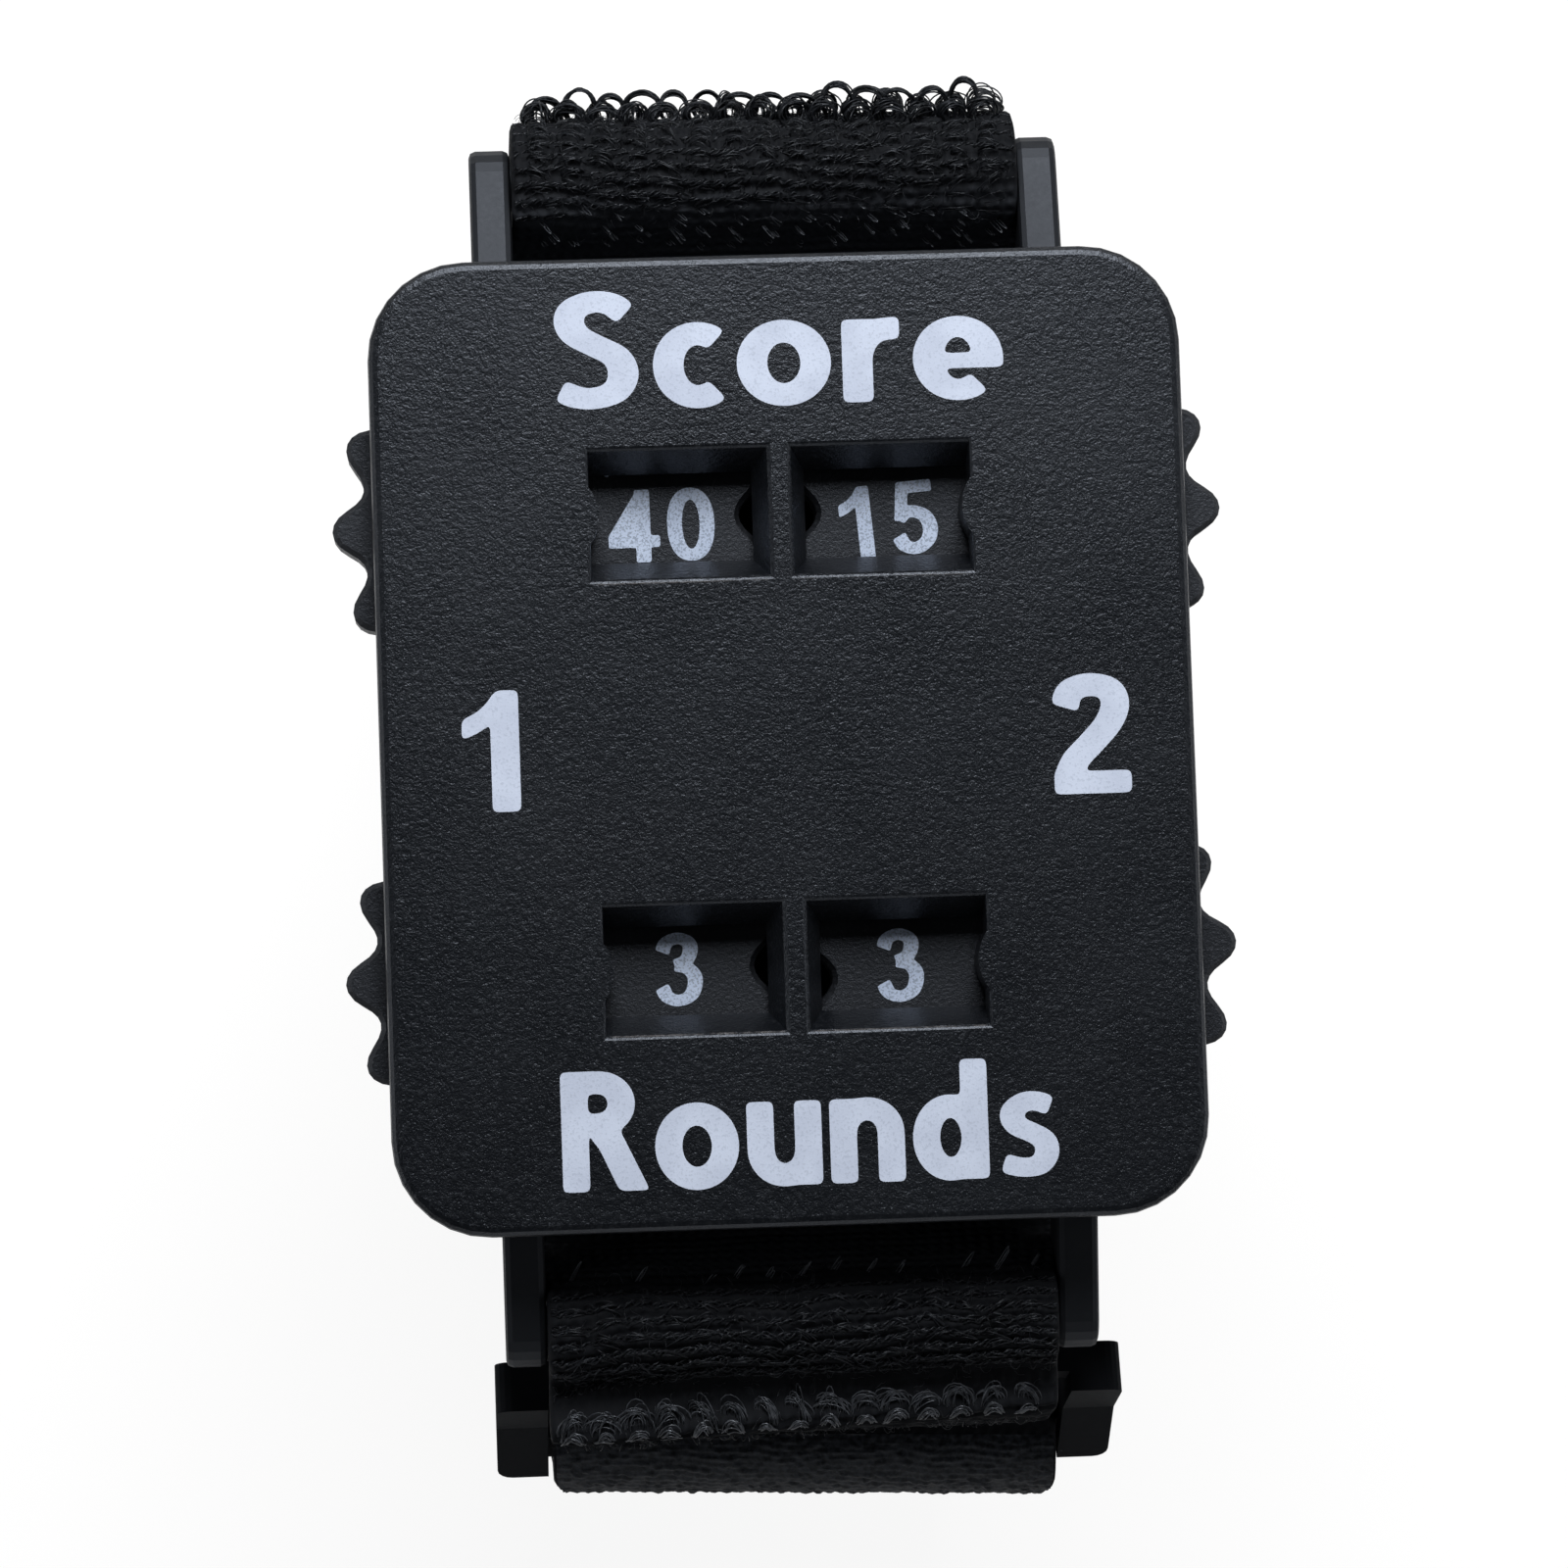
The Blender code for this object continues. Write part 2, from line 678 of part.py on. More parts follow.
root = make_frame("stand", 0)
case_frame = make_frame("case_frame", case_base)
case_frame.parent = root
make_front_cover(case_frame)
make_back_case(case_frame)
for wheel_name, wheel_side, wheel_end, wheel_turn in wheels:
    make_wheel(wheel_name, wheel_side, wheel_end, wheel_turn, case_frame)
    make_washer(wheel_name.replace("wheel", "washer"), wheel_side, wheel_end, case_frame)
for number, screw_spot in enumerate(screw_spots, 1):
    make_screw("case_screw_" + str(number), screw_spot, case_frame)
strap_path = belt_points(strap_stops())
make_band("strap_band", strap_path, strap_width, strap_thickness, webbing, root)
make_band("hook_patch", hook_path(strap_path), strap_width, hook_thickness, hook_tape, root)
make_ring(root)
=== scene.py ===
# Wrist score counter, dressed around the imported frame: grained case, printed marks, numbered wheels,
# and a hook-and-loop strap with its pile.
import math

import bmesh
import bpy
import numpy as np
from mathutils import Euler, Matrix, Vector
from mathutils.geometry import delaunay_2d_cdt


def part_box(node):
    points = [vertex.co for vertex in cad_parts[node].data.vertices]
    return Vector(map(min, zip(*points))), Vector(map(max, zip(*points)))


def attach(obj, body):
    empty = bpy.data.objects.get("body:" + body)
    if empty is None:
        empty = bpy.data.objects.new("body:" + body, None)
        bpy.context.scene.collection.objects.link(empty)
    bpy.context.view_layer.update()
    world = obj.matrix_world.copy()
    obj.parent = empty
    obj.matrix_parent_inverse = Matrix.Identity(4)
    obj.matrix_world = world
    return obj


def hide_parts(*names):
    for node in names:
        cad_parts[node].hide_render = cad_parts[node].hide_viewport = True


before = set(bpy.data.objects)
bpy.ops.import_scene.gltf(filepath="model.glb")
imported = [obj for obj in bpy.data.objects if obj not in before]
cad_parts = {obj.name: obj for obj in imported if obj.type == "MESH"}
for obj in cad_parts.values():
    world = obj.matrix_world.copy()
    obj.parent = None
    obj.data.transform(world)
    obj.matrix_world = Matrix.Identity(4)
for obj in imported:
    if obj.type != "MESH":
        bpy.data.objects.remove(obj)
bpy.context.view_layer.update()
mm = 0.001
print("frame loaded with", len(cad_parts), "nodes")


# Materials: a socket that does maths, and a finish that makes nodes

class Field:
    def __init__(self, tree, socket):
        self.tree = tree
        self.socket = socket

    def maths(self, operation, *others, swap=False):
        node = self.tree.nodes.new("ShaderNodeMath")
        node.operation = operation
        terms = [self, *others]
        if swap:
            terms.reverse()
        for slot, term in zip(node.inputs, terms):
            if isinstance(term, Field):
                self.tree.links.new(term.socket, slot)
            else:
                slot.default_value = term
        return Field(self.tree, node.outputs[0])

    def __add__(self, other):
        return self.maths("ADD", other)

    def __sub__(self, other):
        return self.maths("SUBTRACT", other)

    def __rsub__(self, other):
        return self.maths("SUBTRACT", other, swap=True)

    def __mul__(self, other):
        return self.maths("MULTIPLY", other)

    __radd__ = __add__
    __rmul__ = __mul__

    def above(self, low, high):
        # 0 below low, 1 above high, smooth between them
        node = self.tree.nodes.new("ShaderNodeMapRange")
        node.interpolation_type = "SMOOTHSTEP"
        self.tree.links.new(self.socket, node.inputs["Value"])
        node.inputs["From Min"].default_value = low
        node.inputs["From Max"].default_value = high
        return Field(self.tree, node.outputs["Result"])


class Finish:
    def __init__(self, name, **fixed):
        self.material = bpy.data.materials.new(name)
        self.material.use_nodes = True
        self.tree = self.material.node_tree
        self.shader = self.tree.nodes["Principled BSDF"]
        for key, value in fixed.items():
            self.shader.inputs[key.replace("_", " ").title().replace("Ior", "IOR")].default_value = value

    def node(self, kind, settings=None, sockets=None, out=0):
        # Settings first, such as an operation, then values or links of its sockets
        made = self.tree.nodes.new("ShaderNode" + kind)
        for key, value in (settings or {}).items():
            setattr(made, key, value)
        for key, value in (sockets or {}).items():
            if isinstance(value, Field):
                self.tree.links.new(value.socket, made.inputs[key])
            else:
                made.inputs[key].default_value = value
        return Field(self.tree, made.outputs[out])

    def place(self):
        return self.node("TexCoord", out="Object")

    def axes(self, vector):
        split = self.node("SeparateXYZ", sockets={0: vector}).socket.node
        return [Field(self.tree, socket) for socket in split.outputs]

    def stretched(self, vector, scale):
        return self.node("VectorMath", {"operation": "MULTIPLY"}, {0: vector, 1: scale})

    def noise(self, vector, perMetre, detail=2.0, roughness=0.5):
        sockets = {"Vector": vector, "Scale": perMetre, "Detail": detail, "Roughness": roughness}
        return self.node("TexNoise", sockets=sockets)

    def spots(self, vector, perMetre, out="Distance"):
        return self.node("TexVoronoi", sockets={"Vector": vector, "Scale": perMetre}, out=out)

    def blend(self, amount, first, second):
        # Two colours, or a field and a colour, mixed by a field
        colours = [colour if isinstance(colour, Field) else (*colour, 1) for colour in (first, second)]
        return self.node("Mix", {"data_type": "RGBA"}, {"Factor": amount, 6: colours[0], 7: colours[1]}, out=2)

    def bump(self, height, depth, strength):
        return self.node("Bump", sockets={"Height": height, "Distance": depth, "Strength": strength})

    def feed(self, **fields):
        for key, field in fields.items():
            self.tree.links.new(field.socket, self.shader.inputs[key.replace("_", " ").title()])
        return self.material


def rubbedRims(finish, place, fine, colour, look):
    # Painted highlight: a thin pale line, broken up by the grain, along each listed rim of the windows,
    # standing in for the top light their lower rims catch
    x, y, z = finish.axes(place)
    brokenUp = finish.noise(place, 1 / look["rimBreakScale"], 2.0, 0.6).above(0.36, 0.52)
    wide, end = look["rimWide"], look["rimEnd"]
    lines = None
    for left, right, edge, share in look["highlightRims"]:
        line = (1 - (y - edge * mm).maths("ABSOLUTE").above(wide * 0.4, wide)) * share
        line = line * x.above(left * mm, left * mm + end) * (1 - x.above(right * mm - end, right * mm))
        lines = line if lines is None else lines + line
    onFace = z.above(*look["rimLevel"])
    return finish.blend(lines * onFace * brokenUp * fine.above(0.30, 0.55), colour, look["rimHighlightColour"])


def grainedPlastic(name, look):
    # Moulded grain over the whole face, cloudy sheen, and a few specks of dust
    finish = Finish(name, specular_ior_level=look["gloss"], specular_tint=(*look["tint"], 1))
    place = finish.place()
    grain = finish.noise(place, 1 / look["grain"], 3.0, 0.62)
    fine = finish.noise(place, 2.7 / look["grain"], 2.0, 0.6)
    cloud = finish.noise(place, 1 / look["cloud"], 3.0, 0.55)
    dust = finish.spots(place, 1 / look["dustEvery"])
    cells = finish.spots(place, 1 / look["dustEvery"], out="Position")
    chance = finish.node("TexWhiteNoise", sockets={"Vector": cells})
    speck = (1 - dust.above(look["dustSize"] * 0.6, look["dustSize"])) * chance.above(0.90, 0.93)
    shade = finish.blend(cloud.above(0.3, 0.7), look["dark"], look["light"])
    peaks = finish.blend(grain.above(0.50, 0.78) * look["peaks"], shade, look["peakColour"])
    colour = finish.blend(speck * look["dust"], peaks, look["dustColour"])
    # The painted highlight along the windows' lower rims
    if look["highlightRims"]:
        colour = rubbedRims(finish, place, fine, colour, look)
    height = grain * 0.7 + fine * 0.3
    rough = look["roughness"] + (cloud - 0.5) * 0.12 + (fine - 0.5) * 0.10
    return finish.feed(base_color=colour, roughness=rough,
                       normal=finish.bump(height, look["depth"], look["bump"]))


caseLook = {
    "grain": 0.26 * mm, "cloud": 9 * mm, "depth": 0.05 * mm, "bump": 1.3, "roughness": 0.335,
    "gloss": 0.57, "tint": (0.80, 0.87, 1.0),
    "dark": (0.0033, 0.0041, 0.0057), "light": (0.0050, 0.0060, 0.0079),
    "peaks": 1.0, "peakColour": (0.0165, 0.0185, 0.0220),
    "dustEvery": 1.9 * mm, "dustSize": 0.050, "dust": 0.25, "dustColour": (0.12, 0.13, 0.15),
    # Windows' lower rims, with a painted highlight where they face the top light: from x, to x, y of the edge,
    # how much
    "highlightRims": [(-9.4, -0.6, 7.98, 0.75), (0.6, 9.5, 7.98, 0.40), (-9.4, -0.6, -14.72, 0.85),
             (0.6, 9.5, -14.75, 0.70)],
    "rimWide": 0.055 * mm, "rimEnd": 0.2 * mm, "rimBreakScale": 1.4 * mm, "rimLevel": (55.5 * mm, 55.9 * mm),
    "rimHighlightColour": (0.11, 0.105, 0.105),
}
plainLook = dict(caseLook, highlightRims=[])
trayLook = dict(plainLook, gloss=0.47, grain=0.55 * mm, depth=0.025 * mm, bump=0.35, roughness=0.54, peaks=0.2,
                dark=(0.0050, 0.0057, 0.0072), light=(0.0068, 0.0077, 0.0095))
wheelLook = dict(plainLook, gloss=0.50, grain=0.20 * mm, depth=0.06 * mm, bump=0.9, roughness=0.46,
                 peakColour=(0.024, 0.026, 0.031), dustEvery=1.2 * mm, dust=0.22,
                 dark=(0.0080, 0.0088, 0.0108), light=(0.0108, 0.0118, 0.0142))
ringLook = dict(plainLook, gloss=0.04, grain=0.70 * mm, depth=0.02 * mm, bump=0.30, roughness=0.60, peaks=0.15,
                dark=(0.0078, 0.0088, 0.0108), light=(0.0104, 0.0116, 0.0140))


def brushedSteel(name, look):
    finish = Finish(name, metallic=1.0)
    place = finish.place()
    streaks = finish.noise(finish.stretched(place, (1, 1, 14)), 1 / look["streak"], 3.0, 0.6)
    stains = finish.noise(place, 1 / look["stain"], 3.0, 0.6)
    colour = finish.blend(stains.above(0.35, 0.70), look["bright"], look["dull"])
    rough = look["roughness"] + streaks * 0.18
    return finish.feed(base_color=colour, roughness=rough, normal=finish.bump(streaks, 0.01 * mm, 0.4))


steelLook = {"streak": 0.35 * mm, "stain": 0.9 * mm, "bright": (0.50, 0.50, 0.51), "dull": (0.28, 0.28, 0.30),
             "roughness": 0.24}


def printedInk(name, look):
    # Pad-printed ink: a little uneven, with pinholes where the grain shows through
    finish = Finish(name, specular_ior_level=0.3)
    place = finish.place()
    cloud = finish.noise(place, 1 / look["cloud"], 2.0, 0.5)
    fine = finish.noise(place, 1 / look["speckle"], 2.0, 0.6)
    shade = finish.blend(cloud.above(0.3, 0.7), look["pale"], look["bright"])
    holes = fine.above(look["holes"], look["holes"] + 0.07)
    colour = finish.blend(holes * look["showThrough"], shade, look["under"])
    return finish.feed(base_color=colour, roughness=0.62 + holes * 0.1,
                       normal=finish.bump(fine, 0.03 * mm, 0.35))


coverInkLook = {"cloud": 2.5 * mm, "speckle": 0.14 * mm, "holes": 0.56, "showThrough": 0.26,
                "pale": (0.62, 0.69, 0.85), "bright": (0.71, 0.79, 0.96), "under": (0.30, 0.35, 0.44)}
wheelInkLook = dict(coverInkLook, pale=(0.52, 0.61, 0.79), bright=(0.62, 0.72, 0.91), holes=0.51,
                    showThrough=0.62, speckle=0.11 * mm, under=(0.20, 0.24, 0.31))


def wovenCloth(name, look):
    # Fine plain weave from two crossed sets of yarns, laid along the strap by its own coordinates in mm, with
    # painted light where the pile is drawn flat under and beside the case
    finish = Finish(name, specular_ior_level=look["gloss"])
    lay = finish.node("Attribute", {"attribute_name": "lay"}, out="Vector")
    bandsAtOne = 20 / math.tau  # how many a wave texture has per unit at scale 1
    across, along = [
        finish.node("TexWave", {"bands_direction": direction},
                    {"Vector": lay, "Scale": yarnsPerMm / bandsAtOne, "Distortion": bend, "Detail": 1.0})
        for direction, yarnsPerMm, bend in (("X", look["warp"], 0.5), ("Y", look["weft"], 0.7))]
    yarn = across * along
    fuzz = finish.noise(lay, look["fuzz"], 3.0, 0.6)
    s = finish.axes(lay)[1]
    # Painted light: the stretch where the pile is drawn flat faces the case and gets little light, so the cloth
    # there is painted much lighter
    low, high = look["paintedLightFrom"], look["paintedLightTo"]
    pressed = s.above(low, low + 1) * (1 - s.above(high - 1, high))
    colour = finish.blend(yarn * 0.8 + fuzz * 0.3, look["valley"], look["yarn"])
    colour = finish.blend(pressed * (0.6 + fuzz * 0.4), colour, look["pressed"])
    return finish.feed(base_color=colour, roughness=look["roughness"] + fuzz * 0.12,
                       normal=finish.bump(yarn * 0.8 + fuzz * 0.25, look["depth"], 0.9))


clothLook = {"warp": 1.55, "weft": 1.35, "fuzz": 4.0, "roughness": 0.70, "gloss": 0.12, "depth": 0.16 * mm,
             "valley": (0.0075, 0.0086, 0.0110), "yarn": (0.0095, 0.0108, 0.0136),
             # pressed is painted light: a much lighter colour that stands in for the light the case keeps off
             # that stretch
             "pressed": (0.0330, 0.0370, 0.0450), "paintedLightFrom": 35.8, "paintedLightTo": 97.2}


def nylonYarn(name, look):
    finish = Finish(name, specular_ior_level=look["gloss"], specular_tint=(*look["tint"], 1))
    place = finish.place()
    patches = finish.noise(place, 1 / look["patch"], 2.0, 0.5)
    fine = finish.noise(place, 1 / look["fibre"], 2.0, 0.6)
    colour = finish.blend(patches.above(0.35, 0.68), look["dark"], look["light"])
    return finish.feed(base_color=colour, roughness=look["roughness"] + (fine - 0.5) * 0.3,
                       normal=finish.bump(fine, 0.02 * mm, 0.4))


pileLook = {"patch": 1.6 * mm, "fibre": 0.12 * mm, "roughness": 0.40, "gloss": 0.50, "tint": (0.84, 0.90, 1.0),
            "dark": (0.0016, 0.0020, 0.0028), "light": (0.0080, 0.0092, 0.0119)}
threadLook = dict(pileLook, patch=0.30 * mm, roughness=0.50, gloss=0.25,
                  dark=(0.0030, 0.0034, 0.0044), light=(0.0210, 0.0238, 0.0295))
# A lighter, glossier copy of the pile yarn for the crest, fan and tick loops: painted highlight at the fold,
# painted light at the lugs' ends
paintedLightYarnLook = dict(pileLook, patch=0.5 * mm, roughness=0.36, gloss=0.95,
                 dark=(0.0070, 0.0081, 0.0102), light=(0.0540, 0.0595, 0.0700))
hookLook = dict(pileLook, roughness=0.30, dark=(0.0080, 0.0085, 0.0100), light=(0.0130, 0.0135, 0.0155))

caseFinish = grainedPlastic("case_plastic", caseLook)
trayFinish = grainedPlastic("tray_plastic", trayLook)
wheelFinish = grainedPlastic("wheel_moulding", wheelLook)
ringFinish = grainedPlastic("ring_moulding", ringLook)
steelFinish = brushedSteel("spring_steel", steelLook)
coverInk = printedInk("cover_ink", coverInkLook)
wheelInk = printedInk("wheel_ink", wheelInkLook)
clothFinish = wovenCloth("strap_weave", clothLook)
pileFinish = nylonYarn("pile_yarn", pileLook)
threadFinish = nylonYarn("sewing_thread", threadLook)
paintedLightYarnFinish = nylonYarn("pulled_yarn_painted_light", paintedLightYarnLook)
hookFinish = nylonYarn("hook_nylon", hookLook)
print("finishes made")

# The CAD pieces keep their shapes and get their finishes
wheelNames = ["upper_wheel_left", "upper_wheel_right", "lower_wheel_left", "lower_wheel_right"]
finishes = {"front_cover": caseFinish, "back_case": trayFinish, "cinch_ring": ringFinish}
finishes.update({name: wheelFinish for name in wheelNames})
finishes.update({name.replace("wheel", "washer"): steelFinish for name in wheelNames})
for name, finish in finishes.items():
    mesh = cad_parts[name].data
    mesh.materials.clear()
    mesh.materials.append(finish)


def linked(name, data):
    thing = bpy.data.objects.new(name, data)
    bpy.context.scene.collection.objects.link(thing)
    return thing


def addPiece(name, mesh, finish, body, smooth=True):
    thing = linked(name, mesh)
    mesh.materials.append(finish)
    if smooth:
        mesh.shade_smooth()
    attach(thing, body)
    return thing


def gridMesh(name, grid, closed=True):
    # Four-cornered faces between neighbouring rows of points, and round each row where it is closed
    grid = np.asarray(grid, np.float32)
    index = np.arange(grid.size // 3, dtype=np.int32).reshape(grid.shape[:-1])
    after = np.roll(index, -1, axis=-1)
    faces = np.stack([index[..., :-1, :], after[..., :-1, :], after[..., 1:, :], index[..., 1:, :]], axis=-1)
    faces = (faces if closed else faces[..., :-1, :]).reshape(-1, 4)
    mesh = bpy.data.meshes.new(name)
    mesh.vertices.add(index.size)
    mesh.vertices.foreach_set("co", grid.ravel())
    mesh.loops.add(faces.size)
    mesh.loops.foreach_set("vertex_index", faces.ravel())
    mesh.polygons.add(len(faces))
    mesh.polygons.foreach_set("loop_start", np.arange(0, faces.size, 4, dtype=np.int32))
    mesh.update(calc_edges=True)
    return mesh


def meshOf(shape, mesh):
    # The mesh takes the shape being edited, which is done with
    shape.to_mesh(mesh)
    shape.free()
    return mesh


def unit(vectors):
    return vectors / (np.linalg.norm(vectors, axis=-1, keepdims=True) + 1e-12)


def tubeMesh(name, lines, radius, sides=3):
    # Tubes round many centre lines at once: lines has the shape (tubes, points, 3)
    lines = np.asarray(lines, float)
    along = unit(np.gradient(lines, axis=1))
    guide = np.cross(along[:, :-1], along[:, 1:]).sum(axis=1) + (1e-6, 2e-6, 3e-6)
    outward = unit(np.cross(along, unit(guide)[:, None, :]))
    upward = np.cross(along, outward)
    radius = np.broadcast_to(radius, lines.shape[:2])[:, :, None]
    turns = 2 * math.pi * np.arange(sides) / sides
    rings = [lines + (outward * math.cos(turn) + upward * math.sin(turn)) * radius for turn in turns]
    return gridMesh(name, np.stack(rings, axis=2))


# Printed marks: letters and digits as flat outlines, drawn with a broad nib or as plain shapes

def arc(cx, cy, rx, ry, start, end, steps=22, square=1.0):
    angles = np.radians(np.linspace(start, end, steps + 1))
    c, s = np.cos(angles), np.sin(angles)
    return [(cx + rx * math.copysign(abs(a) ** square, a), cy + ry * math.copysign(abs(b) ** square, b))
            for a, b in zip(c, s)]


def through(points, steps=8):
    # A smooth line through the points
    p = np.asarray(points, float)
    p = np.vstack([2 * p[0] - p[1], p, 2 * p[-1] - p[-2]])
    t = (np.arange(steps) / steps)[:, None]
    made = []
    for a, b, c, d in zip(p, p[1:], p[2:], p[3:]):
        bend = t ** 2 * (2 * a - 5 * b + 4 * c - d) + t ** 3 * (3 * (b - c) + d - a)
        made.append(b + 0.5 * (t * (c - a) + bend))
    return [*np.vstack(made), p[-2]]


def nibStroke(points, wide, flat, cuts=("", "")):
    # Four-cornered pieces of a stroke whose upright parts are wide and whose level parts are flat
    line = np.asarray(points, float)
    closed = np.allclose(line[0], line[-1])
    steps = np.diff(line, axis=0)
    ahead = unit(np.vstack([steps, steps[:1] if closed else steps[-1:]]))
    behind = unit(np.vstack([steps[-1:] if closed else steps[:1], steps]))
    mean = unit(ahead + behind)
    side = np.stack([-mean[:, 1], mean[:, 0]], axis=1)
    half = np.hypot(side[:, 0] * wide, side[:, 1] * flat)[:, None] / 2
    half /= np.maximum((mean * ahead).sum(axis=1), 0.55)[:, None]
    left, right = line + side * half, line - side * half
    for end, cut in ((0, cuts[0]), (-1, cuts[1])):
        if cut:
            axis = "vh".index(cut)
            for edge in (left, right):
                edge[end] += mean[end] * (line[end][axis] - edge[end][axis]) / mean[end][axis]
    return [[left[i], left[i + 1], right[i + 1], right[i]] for i in range(len(line) - 1)]


def bar(x0, y0, x1, y1):
    return [(x0, y0), (x1, y0), (x1, y1), (x0, y1)]


def alphabet(w):
    # For each letter its flat pieces, in units of the capital height, and its full width
    h, f = w / 2, w * 0.80
    g = f / 2
    top = 0.71 - g

    def pen(points, wide=w, flat=f, cuts=("", "")):
        return nibStroke(through(points), wide, flat, cuts)

    def oval(cx, cy, rx, ry, start=0, end=360, steps=40, flat=f, square=1.0):
        return nibStroke(arc(cx, cy, rx - h, ry - g, start, end, steps, square), w, flat)

    digits = {
        "0": oval(0.388, 0.5, 0.325, 0.505, steps=44, square=0.90),
        "1": [[(0.57 - w, 0), (0.57, 0), (0.57, 1), (0.57 - w * 0.80, 1), (0.545 - w, 0.895), (0.45 - w, 0.815),
               (0.335 - w, 0.765), (0.335 - w, 0.60), (0.455 - w, 0.645), (0.57 - w, 0.72)]],
        "2": pen([(0.165, 0.715), (0.215, 0.85), (0.37, 0.995 - g), (0.535, 0.86), (0.585, 0.73), (0.52, 0.575),
                  (0.37, 0.41), (0.235, 0.27), (0.165, 0.10)]) + [bar(0.06, 0, 0.70, f)],
        "3": pen([(0.165, 0.735), (0.225, 0.865), (0.375, 1.005 - g), (0.52, 0.865), (0.55, 0.75),
                  (0.485, 0.615), (0.33, 0.555)], w, f * 0.95)
        + pen([(0.33, 0.545), (0.485, 0.515), (0.585, 0.42), (0.60, 0.29), (0.535, 0.14), (0.375, g - 0.01),
               (0.22, 0.125), (0.145, 0.265)], w, f * 0.95),
        "4": [bar(0.61 - w, 0, 0.61, 1), bar(0.03, 0.205, 0.735, 0.205 + f),
              [(0.03, 0.205 + f), (0.03, 0.36), (0.205, 0.36), (0.61 - w, 0.69), (0.61, 1.0), (0.44, 1.0)]],
        "5": pen([(0.165, 0.495), (0.26, 0.565), (0.375, 0.58), (0.525, 0.50), (0.585, 0.335), (0.53, 0.165),
                  (0.375, g - 0.01), (0.215, 0.12), (0.14, 0.26)])
        + [bar(0.20, 1 - f, 0.655, 1), [(0.10, 0.475), (0.27, 0.445), (0.345, 1.0), (0.175, 1.0)]],
        "6": oval(0.385, 0.315, 0.325, 0.325)
        + pen([(0.60, 0.755), (0.53, 0.875), (0.395, 1.005 - g), (0.245, 0.85), (0.165, 0.66), (0.155, 0.42),
               (0.165, 0.30)]),
    }
    bowl = arc(0.33, 0.73, 0.315 - h, 0.27 - g, 90, -90, 18)[1:]
    letters = {
        "A": ([[(0, 0), (w, 0), (0.375 + h, 1), (0.375 - h, 1)], bar(0.16, 0.225, 0.59, 0.225 + f),
               [(0.75 - w, 0), (0.75, 0), (0.375 + h, 1), (0.375 - h, 1)]], 0.77),
        "d": (oval(0.33, 0.35, 0.33, 0.36) + [bar(0.66 - w, 0, 0.66, 1)], 0.68),
        "S": (pen([(0.565, 0.80), (0.45, 0.985 - g), (0.30, 1.0 - g), (0.165, 0.845), (0.13, 0.74),
                   (0.18, 0.63), (0.33, 0.535), (0.485, 0.44), (0.54, 0.295), (0.475, 0.15), (0.32, g),
                   (0.18, g + 0.01), (0.05, 0.165)], w, f * 0.95), 0.68),
        "s": (pen([(0.455, 0.585), (0.355, top + 0.01), (0.245, top + 0.015), (0.145, 0.575), (0.115, 0.505),
                   (0.165, 0.425), (0.285, 0.37), (0.395, 0.30), (0.415, 0.195), (0.35, 0.10),
                   (0.235, g - 0.015), (0.125, g), (0.035, 0.125)], w * 0.90, f * 0.84), 0.55),
        "c": (oval(0.345, 0.35, 0.345, 0.365, 50, 310, 30), 0.56),
        "o": (oval(0.365, 0.35, 0.365, 0.365, steps=44), 0.73),
        "r": ([bar(0, 0, w, 0.70)]
              + pen([(h, 0.36), (h + 0.05, 0.50), (h + 0.15, 0.60), (h + 0.33, top + 0.005)],
                    w * 0.9, f, ("", "v")), 0.46),
        "e": (oval(0.35, 0.35, 0.35, 0.365, 0, 312, 34, f * 0.92) + [bar(0.16, 0.265, 0.70, 0.395)], 0.70),
        "R": ([bar(0, 0, w, 1)] + nibStroke([(h, 1 - g), (0.33, 1 - g), *bowl, (h, 0.46 + g)], w, f)
              + nibStroke([(0.33, 0.52), (0.42, 0.42), (0.62, 0.0)], w * 1.05, f, ("", "h")), 0.735),
        "u": (nibStroke([(h, 0.70)] + arc(0.325, 0.295, 0.325 - h, 0.305 - g, 180, 360, 22), w, f)
              + [bar(0.65 - w, 0, 0.65, 0.70)], 0.65),
        "n": (nibStroke(arc(0.325, 0.415, 0.325 - h, 0.295 - g, 180, 0, 22) + [(0.65 - h, 0)], w, f)
              + [bar(0, 0, w, 0.70)], 0.65),
    }
    return {**letters, **{digit: (shapes, 0.777) for digit, shapes in digits.items()}}


def united(shapes, holes=False):
    # The shapes as one flat sheet: its points, triangles, and the open edges round them
    points, faces = [], []
    for shape in shapes:
        turns = sum(a[0] * b[1] - a[1] * b[0] for a, b in zip(shape, [*shape[1:], shape[0]]))
        shape = shape if turns > 0 else shape[::-1]
        faces.append(list(range(len(points), len(points) + len(shape))))
        points += [Vector(point) for point in shape]
    flat, _, made, _, _, source = delaunay_2d_cdt(points, [], faces, 1, 1e-5)
    made = [tuple(face) for face, origin in zip(made, source) if len(origin) == 1 or (origin and not holes)]
    ways = {(face[i - 1], face[i]) for face in made for i in range(3)}
    return flat, made, sorted((a, b) for a, b in ways if (b, a) not in ways)


def softened(loop, reach):
    # A closed line with even steps and round corners
    line = np.array([*loop, loop[0]])
    lengths = np.concatenate([[0], np.cumsum(np.hypot(*np.diff(line, axis=0).T))])
    at = np.linspace(0, lengths[-1], max(12, round(lengths[-1] / reach * 2)), endpoint=False)
    even = np.stack([np.interp(at, lengths, line[:, axis]) for axis in range(2)], axis=1)
    return sum(np.roll(even, step, axis=0) * (3 - abs(step)) / 9 for step in range(-2, 3))


